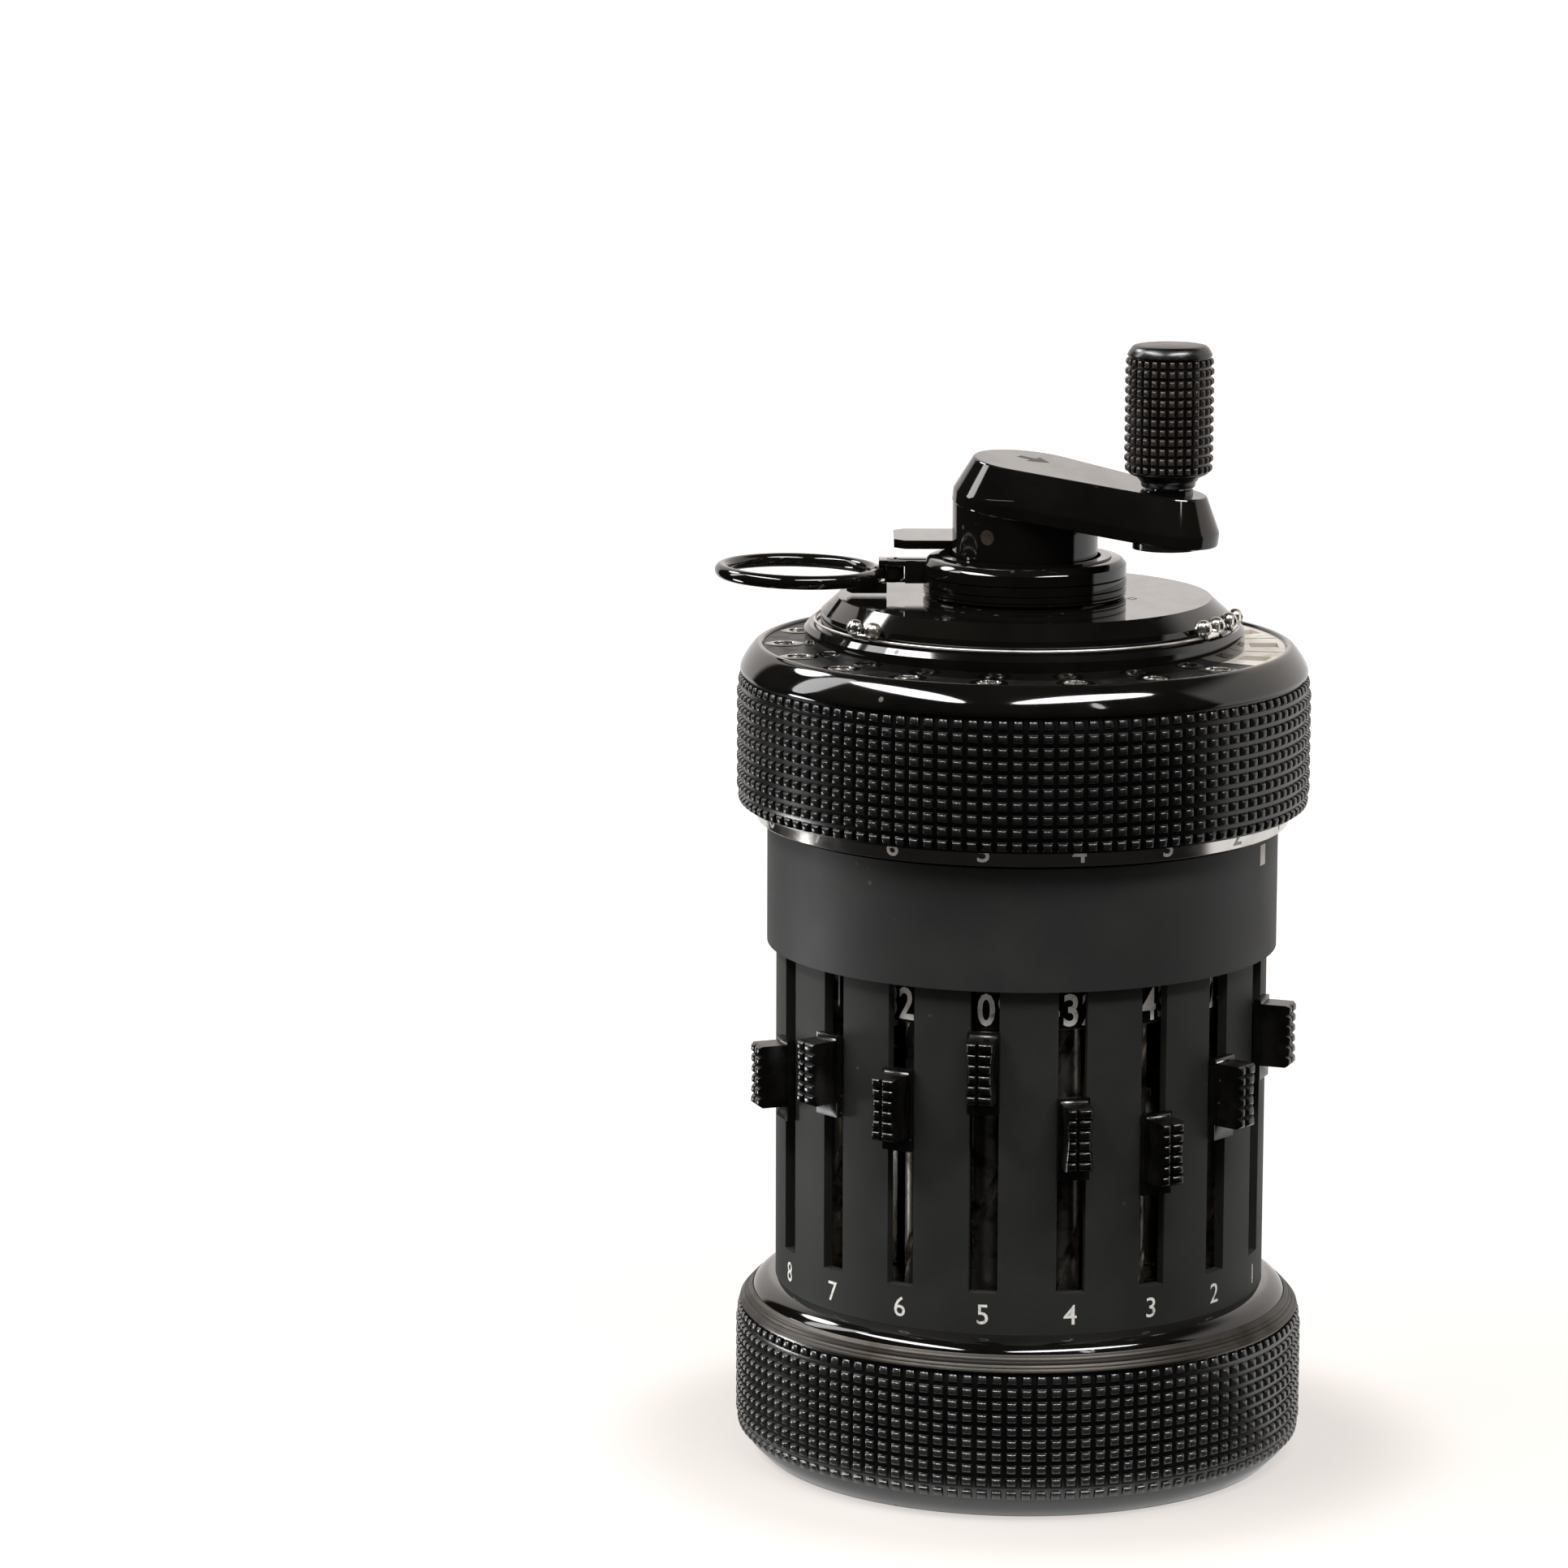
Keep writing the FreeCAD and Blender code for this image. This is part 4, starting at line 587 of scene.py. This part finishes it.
knobMesh = knurledRing(
    knobGrip,
    [(1.56, 91.9), (2.35, 91.9), (2.45, 92.0), (2.5, 92.35), (2.85, 92.8), (3.5, 93.1)],
    [(3.84, 103.82), (3.84, 104.0), (3.5, 104.55), (3.3, 104.72), (2.9, 104.8), (1.5, 104.9),
     (0, 104.94), (0, 100.9), (1.56, 100.9)])
moved(knobMesh, shift(*spot(arm["throw"], arm["azimuth"])))
piece("knurled_knob", knobMesh, "warm", "knob", "black_enamel", "crank_knob", crease=55)
print("crank made")


# Clearing lever and finger ring

fingerRing = {"centre": (-20.75, 0, 82.95), "middle": 7.15, "wire": 0.65, "lean": 1.4,
              "pivot": (-12.2, 0, 82.95)}
tongue = block((1.05, 2.2, 1.15), (-13.475, 0, 82.95))
bevelEdges(tongue, 0.2, 3)
eye = turned([(0.66, -0.57), (1.1, -0.57), (1.1, 0.57), (0.66, 0.57)], 32)
wire = wireRing(fingerRing["middle"], fingerRing["wire"])
moved(wire, turn("Y", fingerRing["lean"]), shift(*fingerRing["centre"]))
ringMesh = added(wire, tongue, moved(eye, shift(*fingerRing["pivot"])))
piece("round_finger_ring", ringMesh, "gloss", "ring", "black_enamel", "clearing_ring")

collarMesh = turned([
    (7.96, 81.0), (9.2, 80.95), (9.35, 81.1), (9.35, 81.22), (9.22, 81.3), (9.35, 81.38),
    (9.35, 81.82), (9.22, 81.9), (9.35, 81.98), (9.35, 82.72), (9.2, 82.8), (9.35, 82.9),
    (9.35, 83.85), (9.25, 84.0), (8.95, 84.32), (8.8, 84.4), (7.96, 84.4)], 128)
leverRoot = block((2.6, 2.6, 2.12), (-9.75, 0, 83.08))
upperProng = block((2.6, 2.6, 0.55), (-12.15, 0, 83.87))
# the lower prong is narrow, so that the leaning ring passes over it when it folds
lowerProng = block((1.4, 1.4, 0.3), (-11.55, 0, 82.17))
boss = turned([(0, 82.02), (0.7, 82.02), (0.7, 82.32), (0, 82.32)], 32)
shoe = plate([(-12.7, 81.1), (-15.9, 81.1), (-16.4, 81.3), (-16.4, 81.75), (-13.4, 82.0),
              (-13.3, 82.1), (-12.7, 82.1)], 2.6)
for part in (leverRoot, upperProng, lowerProng, shoe):
    bevelEdges(part, 0.1, 3)
pin = turned([(0, 82.0), (0.6, 82.0), (0.6, 84.12), (0.5, 84.2), (0, 84.2)], 32)
pivot = moved(added(boss, pin), shift(fingerRing["pivot"][0], 0, 0))
leverMesh = added(collarMesh, added(leverRoot, upperProng, lowerProng, shoe, pivot))
piece("grooved_clearing_collar", leverMesh, "gloss", "lever", "black_enamel", "clearing_lever")
print("clearing lever made")


# Setting sliders

finger = {
    "front": 26.3, "back": 23.4, "height": 5.8,
    "widths": (2.5, 2.4, 2.2, 2.1, 2.2, 2.4, 2.5),   # from the foot to the head
    "parting": -0.2,                                 # groove between the two columns of ridges
    "drop": 0.15,                                    # middle of the ridges under the slider's
    "cut": 23.61,                                    # the CAD finger is cut off at this depth
    "stud": ((0.13, 0.2), (0.1, 0.12), (0.08, 0.05)),
}


def fingerMesh():
    # ridged face of a slider, at azimuth nought and height nought
    root = finger["front"] - sum(upwards for inwards, upwards in finger["stud"])
    rows = len(finger["widths"]) - 1
    bm = bmesh.new()
    bmesh.ops.create_grid(bm, x_segments=2, y_segments=rows, size=0.5)
    for vert in bm.verts:
        width = finger["widths"][round((vert.co.y + 0.5) * rows)]
        vert.co.x = vert.co.x * width if abs(vert.co.x) > 0.01 else finger["parting"]
    bmesh.ops.scale(bm, vec=(1, finger["height"], 1), verts=bm.verts)
    cells = bm.faces[:]
    rims = [edge for edge in bm.edges if edge.is_boundary]
    raised(bm, bmesh.ops.extrude_edge_only(bm, edges=rims), finger["back"] - root)
    studs(bm, cells, finger["stud"])
    return moved(bm, turn("X", 90), shift(0, -root, -finger["drop"]))


for place in range(1, layout["places"] + 1):
    # the block and pin of the CAD slider stay behind the ridges
    azimuth = slotAzimuth(place)
    height = layout["sliderZero"] - layout["digitStep"] * layout["values"][place - 1]
    node = f"slider_{place}"
    rest = bmesh.new()
    rest.from_mesh(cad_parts[node].data)
    moved(rest, turn("Z", -azimuth) @ Matrix.Scale(1000, 4))
    bmesh.ops.remove_doubles(rest, verts=rest.verts, dist=0.002)
    cut = bmesh.ops.bisect_plane(rest, geom=rest.verts[:] + rest.edges[:] + rest.faces[:],
                                 dist=0.001, plane_co=(0, -finger["cut"], 0),
                                 plane_no=(0, -1, 0), clear_outer=True)
    bmesh.ops.holes_fill(rest, edges=ofKind(cut["geom_cut"], bmesh.types.BMEdge))
    made = added(moved(rest, shift(0, 0, -height)), fingerMesh())
    moved(made, shift(0, 0, height), turn("Z", azimuth))
    piece(f"ridged_slider_{place}", made, "worn", f"setting_{place}", "black_enamel", node)
print("sliders made")


# Reversing lever at the back

button = {"azimuth": 170.0, "front": 25.3, "width": 2.1, "height": 2.9, "middle": 43.8,
          "stud": ((0.1, 0.14), (0.1, 0.08), (0.08, 0.03))}
ridges = bmesh.new()
bmesh.ops.create_grid(ridges, x_segments=1, y_segments=4, size=0.5)
bmesh.ops.scale(ridges, vec=(button["width"], button["height"], 1), verts=ridges.verts)
studs(ridges, ridges.faces[:], button["stud"])
moved(ridges, turn("X", 90), shift(0, -button["front"], button["middle"]),
      turn("Z", button["azimuth"]))
piece("reversing_lever_ridges", ridges, "worn", "reverser", "black_enamel")


# Digits

digits = {
    # place numbers under the slots
    "placeHeight": 18.5, "placeSize": 1.85, "placeRadius": 22.795,
    # set digits on the rolls, which are turned towards the middle of the front
    "valueHeight": 46.35, "valueSize": 2.85, "valueWidth": 0.84, "rollCircle": 18.4,
    "rollRadius": 2.995,
    "towardsFront": {10: 2, 30: 6, 50: 24, 70: 24},
    # places of the carriage, half under the grip
    "lipPlaces": 11, "lipHeight": 61.35, "lipSize": 1.7, "lipWidth": 1.1, "lipRadius": 24.62,
    # dials behind the windows
    "dialCentre": 72.5, "dialFace": 2.996, "dialSize": 1.5, "dialCircle": 22.1,
    # the index tick on the sleeve: half its width and height
    "tick": (0.65, 0.95), "tickAzimuth": 66, "tickHeight": 58.4, "tickRadius": 23.655,
}
for place in range(1, layout["places"] + 1):
    azimuth = slotAzimuth(place)
    mark = wrapped(numeral(str(place), digits["placeSize"], 0.005),
                   digits["placeRadius"] + layout["lift"], azimuth, digits["placeHeight"])
    piece(f"place_number_{place}", mark, "white", "housing", "cream_enamel")
    ring = bmesh.new()
    value = layout["values"][place - 1]
    for figure in range(10):
        inwards = math.copysign(digits["towardsFront"][abs(azimuth)], azimuth)
        mark = wrapped(numeral(str(figure), digits["valueSize"], 0.08),
                       digits["rollRadius"] + layout["lift"], inwards - 36 * (figure - value), 0,
                       digits["valueWidth"])
        ring = added(ring, mark)
    centre = spot(digits["rollCircle"], azimuth, digits["valueHeight"])
    moved(ring, turn("Z", azimuth), shift(*centre))
    piece(f"roll_digits_{place}", ring, "white", f"roll_{place}", "cream_enamel")
lipDigits = bmesh.new()
for place in range(1, digits["lipPlaces"] + 1):
    mark = wrapped(numeral(str(place), digits["lipSize"], 0.03),
                   digits["lipRadius"] + layout["lift"], slotAzimuth(place), digits["lipHeight"],
                   digits["lipWidth"])
    lipDigits = added(lipDigits, mark)
piece("carriage_place_numbers", lipDigits, "white", "carriage", "cream_enamel")


def dialDigits(azimuths):
    # nought to nine round every dial, nought uppermost, read from outside
    ring = bmesh.new()
    for azimuth in azimuths:
        for figure in range(10):
            mark = moved(numeral(str(figure), digits["dialSize"], 0.01),
                         shift(0, 0, digits["dialFace"] + layout["lift"]), turn("Y", 36 * figure),
                         shift(0, -digits["dialCircle"], digits["dialCentre"]), turn("Z", azimuth))
            ring = added(ring, mark)
    return ring


resultPlaces = range(-150, 51, 20)
counterPlaces = range(70, 171, 20)
piece("result_dial_numbers", dialDigits(resultPlaces), "white", "carriage", "cream_enamel")
piece("counter_dial_numbers", dialDigits(counterPlaces), "dial", "carriage", "dial_black")
across, along = digits["tick"]
tick = flat(0, (-across, -along), (across, -along), (across, along), (-across, along))
wrapped(tick, digits["tickRadius"] + layout["lift"], digits["tickAzimuth"], digits["tickHeight"])
piece("cream_index_tick", tick, "cream", "housing", "cream_enamel")
print("digits made")


# Windows of the carriage

bezel = {
    "circle": 22.1, "height": 76.2, "long": 1.8, "wide": 1.75, "sides": 40,
    # each step is (size against the outer oval, height over the plate)
    "collar": ((1.0, -0.05), (1.0, 0.02), (0.97, 0.05), (0.7, 0.07), (0.66, 0.06)),
    "rim": ((0.66, 0.06), (0.63, 0.1), (0.59, 0.08), (0.55, -0.08), (0.55, -0.3)),
}


def ovalRing(steps):
    # nested ovals joined one after the other, tangent to the ring at azimuth nought
    bm = bmesh.new()
    loops = []
    for size, rise in steps:
        spread = Matrix.Diagonal((bezel["wide"] * size, bezel["long"] * size, 1, 1))
        loop = bmesh.ops.create_circle(bm, segments=bezel["sides"], radius=1,
                                       matrix=shift(0, 0, rise) @ spread)
        loops.append(edgesOf(loop["verts"]))
    for inner, outer in zip(loops, loops[1:]):
        bmesh.ops.bridge_loops(bm, edges=inner + outer)
    bmesh.ops.recalc_face_normals(bm, faces=bm.faces)
    if sum(face.normal.z for face in bm.faces) < 0:
        bmesh.ops.reverse_faces(bm, faces=bm.faces)
    return moved(bm, shift(0, -bezel["circle"], bezel["height"]))


for name, finish, slot in (("collar", "gloss", "black_enamel"), ("rim", "silver", "steel")):
    ring = bmesh.new()
    for azimuth in resultPlaces:
        ring = added(ring, moved(ovalRing(bezel[name]), turn("Z", azimuth)))
    piece(f"result_window_{name}s", ring, finish, "carriage", slot)

lines = bmesh.new()
for azimuth in range(60, 181, 20):
    line = flat(bezel["height"] + layout["lift"],
                (-0.09, -23.95), (0.09, -23.95), (0.09, -20.4), (-0.09, -20.4))
    lines = added(lines, moved(line, turn("Z", azimuth)))
piece("counter_window_lines", lines, "dial", "carriage", "dial_black")

# a hollow diamond on the flat top, drawn as four strips
diamond = {"top": 80.8, "place": (9.8, -2, 0),
           "strips": (((0, 0.55), (0, 0.72), (-0.5, 0), (-0.38, 0)),
                      ((0, 0.55), (0.38, 0), (0.5, 0), (0, 0.72)))}
mark = bmesh.new()
for strip in diamond["strips"]:
    for half in (0, 180):
        side = moved(flat(diamond["top"] + layout["lift"], *strip), turn("Z", half))
        mark = added(mark, moved(side, shift(*diamond["place"])))
piece("diamond_mark", mark, "dial", "carriage", "dial_black")
print("windows dressed")


# Rail and decimal markers

rail = {"circle": 19.3, "wire": 0.13, "height": 78.62}
railMesh = wireRing(rail["circle"], rail["wire"], rail["height"], 160, 12)
piece("marker_rail", railMesh, "drawn", "carriage", "steel")

beads = {"circle": 19.6, "radius": 0.8, "middle": 79.53, "step": 7.0, "flutes": 9,
         "fluteDepth": 0.07, "foot": (2.2, 0.5, 0.6), "footMiddle": (0, -0.12, 78.85),
         "azimuths": (-49.5, 57.0, 73.0)}


def beadMesh():
    bm = bmesh.new()
    sphere = bmesh.ops.create_uvsphere(bm, u_segments=beads["flutes"] * 4, v_segments=16,
                                       radius=beads["radius"])
    for vert in sphere["verts"]:
        wave = 1 + math.cos(math.atan2(vert.co.y, vert.co.x) * beads["flutes"])
        out = math.hypot(vert.co.x, vert.co.y) / beads["radius"]
        slack = 1 - beads["fluteDepth"] * wave * out
        vert.co.x *= slack
        vert.co.y *= slack
    return bm


for number, azimuth in enumerate(beads["azimuths"], 1):
    # the foot hangs outside the rail, the beads sit on top of it
    marker = moved(block(beads["foot"], beads["footMiddle"]), shift(0, -beads["circle"], 0))
    bevelEdges(marker, 0.12)
    for side in (-0.5, 0.5):
        bead = moved(beadMesh(), shift(0, -beads["circle"], beads["middle"]))
        marker = added(marker, moved(bead, turn("Z", side * beads["step"])))
    moved(marker, turn("Z", azimuth))
    piece(f"fluted_marker_{number}", marker, "silver", f"marker_{number}", "steel",
          f"decimal_marker_{number}", crease=50)
print("markers made")


# CAD nodes that stay

nodeFinishes = {
    "body_tube": "matt", "upper_band": "sleeve", "base_cover": "gloss", "carriage_cone": "gloss",
    "carriage_neck": "gloss", "result_window_plate": "dial", "counter_window_plate": "cream",
    "result_dials": "dial", "counter_dials": "cream", "reversing_lever": "gloss",
    "knob_stud": "steel", "crank_cross_pin": "copper",
    "setting_shaft": "shaft", "stepped_drum": "brass", "main_shaft": "steel",
    "lower_bearing_plate": "brass", "roll_bearing_ring": "brass", "upper_bearing_plate": "brass",
    "pinion": "brass", "drive_shaft": "steel", "lift_washer": "brass", "carriage_spring": "steel",
}
for name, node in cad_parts.items():
    for start, finish in nodeFinishes.items():
        if name.startswith(start):
            for holder in node.material_slots:
                holder.material = finishes[finish]
print("frame dressed")


# Floor, lamps, world and camera

studio = {
    # azimuth and height of each softbox in degrees, its width and height in metres, its brightness
    # and its distance
    "lamps": {
        "rightFront": {"azimuth": 30, "rise": 55, "size": (0.7, 0.14), "level": 20, "reach": 0.8},
        "rightStrip": {"azimuth": 32, "rise": 39, "size": (0.05, 0.2), "level": 7, "reach": 0.8},
        "leftFront": {"azimuth": -66, "rise": 52, "size": (0.7, 0.14), "level": 20, "reach": 0.8},
        "leftBack": {"azimuth": -126, "rise": 38, "size": (0.22, 0.2), "level": 12, "reach": 0.8},
        "leftStrip": {"azimuth": -103, "rise": 30, "size": (0.08, 0.26), "level": 5, "reach": 0.36},
        "lowLeft": {"azimuth": -101, "rise": -18.4, "size": (0.03, 0.036), "level": 11,
                    "reach": 0.126},
    },
    "aim": 0.06,           # height that the lamps point at
    "plain": 0.35,         # what dull surfaces get from all round
    "dark": 0.012,         # what polished surfaces see in front and overhead
    "backdrop": (0.5, 0.866, 0),   # the way to the middle of the bright side
    "warmth": (1, 0.94, 0.9, 1), "skyWarmth": (1, 0.94, 0.895, 1),
    "nearWhite": (1, 0.99, 0.98, 1), "white": (1, 1, 1, 1),
    "paper": (0.16, 0.151, 0.144, 1),
    "floorHalf": 3,
    # the floor's glow from the machine outwards, dimmest next to it as painted shadow, and the
    # distances between which it changes
    "floorGlowAndShadow": (0.63, 0.85, 1.12), "floorSteps": ((0.03, 0.045), (0.08, 0.3)),
    "contact": (0.028, 0.034), "floorMirrored": 0.96,
    "wallMirrored": 0.97, "wallHead": (0.55, 0.75),
}
for name, lamp in studio["lamps"].items():
    light = bpy.data.lights.new(name, "AREA")
    light.shape = "ELLIPSE"
    light.size, light.size_y = lamp["size"]
    light.energy = lamp["level"] * math.pi * lamp["size"][0] * lamp["size"][1]
    holder = bpy.data.objects.new(name, light)
    rise = math.radians(lamp["rise"])
    holder.location = spot(lamp["reach"] * math.cos(rise), lamp["azimuth"],
                           lamp["reach"] * math.sin(rise) + studio["aim"])
    aim = Vector((0, 0, studio["aim"])) - holder.location
    holder.rotation_euler = aim.to_track_quat("-Z", "Y").to_euler()
    holder.visible_camera = False
    bpy.context.collection.objects.link(holder)


def backdrop(finish, where):
    # 1 for directions or places behind and to the right, 0 for the others
    level = finish.node("VectorMath", {"operation": "MULTIPLY"}, {0: where, 1: (1, 1, 0)})
    level = finish.node("VectorMath", {"operation": "NORMALIZE"}, {0: level})
    return finish.node("VectorMath", {"operation": "DOT_PRODUCT"},
                       {0: level, 1: studio["backdrop"]}, "Value").smooth(0.33, 0.42)


floorMesh = bmesh.new()
bmesh.ops.create_grid(floorMesh, x_segments=1, y_segments=1, size=studio["floorHalf"])
floorData = bpy.data.meshes.new("floor")
floorMesh.to_mesh(floorData)
floorMesh.free()
floor = bpy.data.objects.new("floor", floorData)
bpy.context.collection.objects.link(floor)
ground = Finish(bpy.data.materials.new("pale floor"))
isSeen = ground.node("LightPath", {}, {}, "Is Camera Ray")
isGlossy = ground.node("LightPath", {}, {}, "Is Glossy Ray")
away = ground.radius()
paper = ground.node("BsdfDiffuse", {}, {"Color": studio["paper"]})
# seen directly: painted shadow as a dim glow under the machine, then paler outwards
near, beside, far = (ground.glow("Emission", studio["warmth"], level)
                     for level in studio["floorGlowAndShadow"])
lit = ground.mixed(away.smooth(*studio["floorSteps"][0]), near, beside)
lit = ground.mixed(away.smooth(*studio["floorSteps"][1]), lit, far)
seen = ground.node("AddShader", {}, {0: paper, 1: lit})
# seen in polished surfaces: bright close to the machine and behind it, dark in front
bright = ground.glow("Emission", studio["nearWhite"], studio["floorMirrored"])
gloom = ground.glow("Emission", studio["warmth"], studio["dark"])
mirrored = ground.mixed(backdrop(ground, ground.place), gloom, bright)
mirrored = ground.mixed(away.smooth(*studio["contact"]), bright, mirrored)
shown = ground.mixed(isSeen, ground.mixed(isGlossy, paper, mirrored), seen)
ground.node("OutputMaterial", {}, {"Surface": shown})
floorData.materials.append(ground.owner)

sky = Finish(bpy.data.worlds.new("studio"), "Generated")
bpy.context.scene.world = sky.owner
isSeen = sky.node("LightPath", {}, {}, "Is Camera Ray")
isGlossy = sky.node("LightPath", {}, {}, "Is Glossy Ray")
plain = sky.glow("Background", studio["white"], studio["plain"])
# polished surfaces see a bright wall behind and to the right, and gloom elsewhere
gloom = sky.glow("Background", studio["skyWarmth"], studio["dark"])
behind = sky.glow("Background", studio["skyWarmth"], studio["wallMirrored"])
wall = backdrop(sky, sky.place) * (1 - sky.along("Z").smooth(*studio["wallHead"]))
mirrored = sky.mixed(wall, gloom, behind)
seen = sky.glow("Background", studio["white"], 1.0)
shown = sky.mixed(isSeen, sky.mixed(isGlossy, plain, mirrored), seen)
sky.node("OutputWorld", {}, {"Surface": shown})

view = {"eye": (-0.01921, -0.55323, 0.16516), "yaw": 0.3, "pitch": 10.46, "roll": 0.136,
        "lens": 139.43, "sensor": 36}
lens = bpy.data.cameras.new("camera")
lens.sensor_width = view["sensor"]
lens.lens = view["lens"]
camera = bpy.data.objects.new("camera", lens)
camera.location = view["eye"]
aimed = turn("Z", view["yaw"]) @ turn("X", 90 - view["pitch"]) @ turn("Z", view["roll"])
camera.rotation_euler = aimed.to_euler()
bpy.context.collection.objects.link(camera)
scene = bpy.context.scene
scene.camera = camera
scene.view_settings.view_transform = "Standard"

bpy.context.view_layer.update()
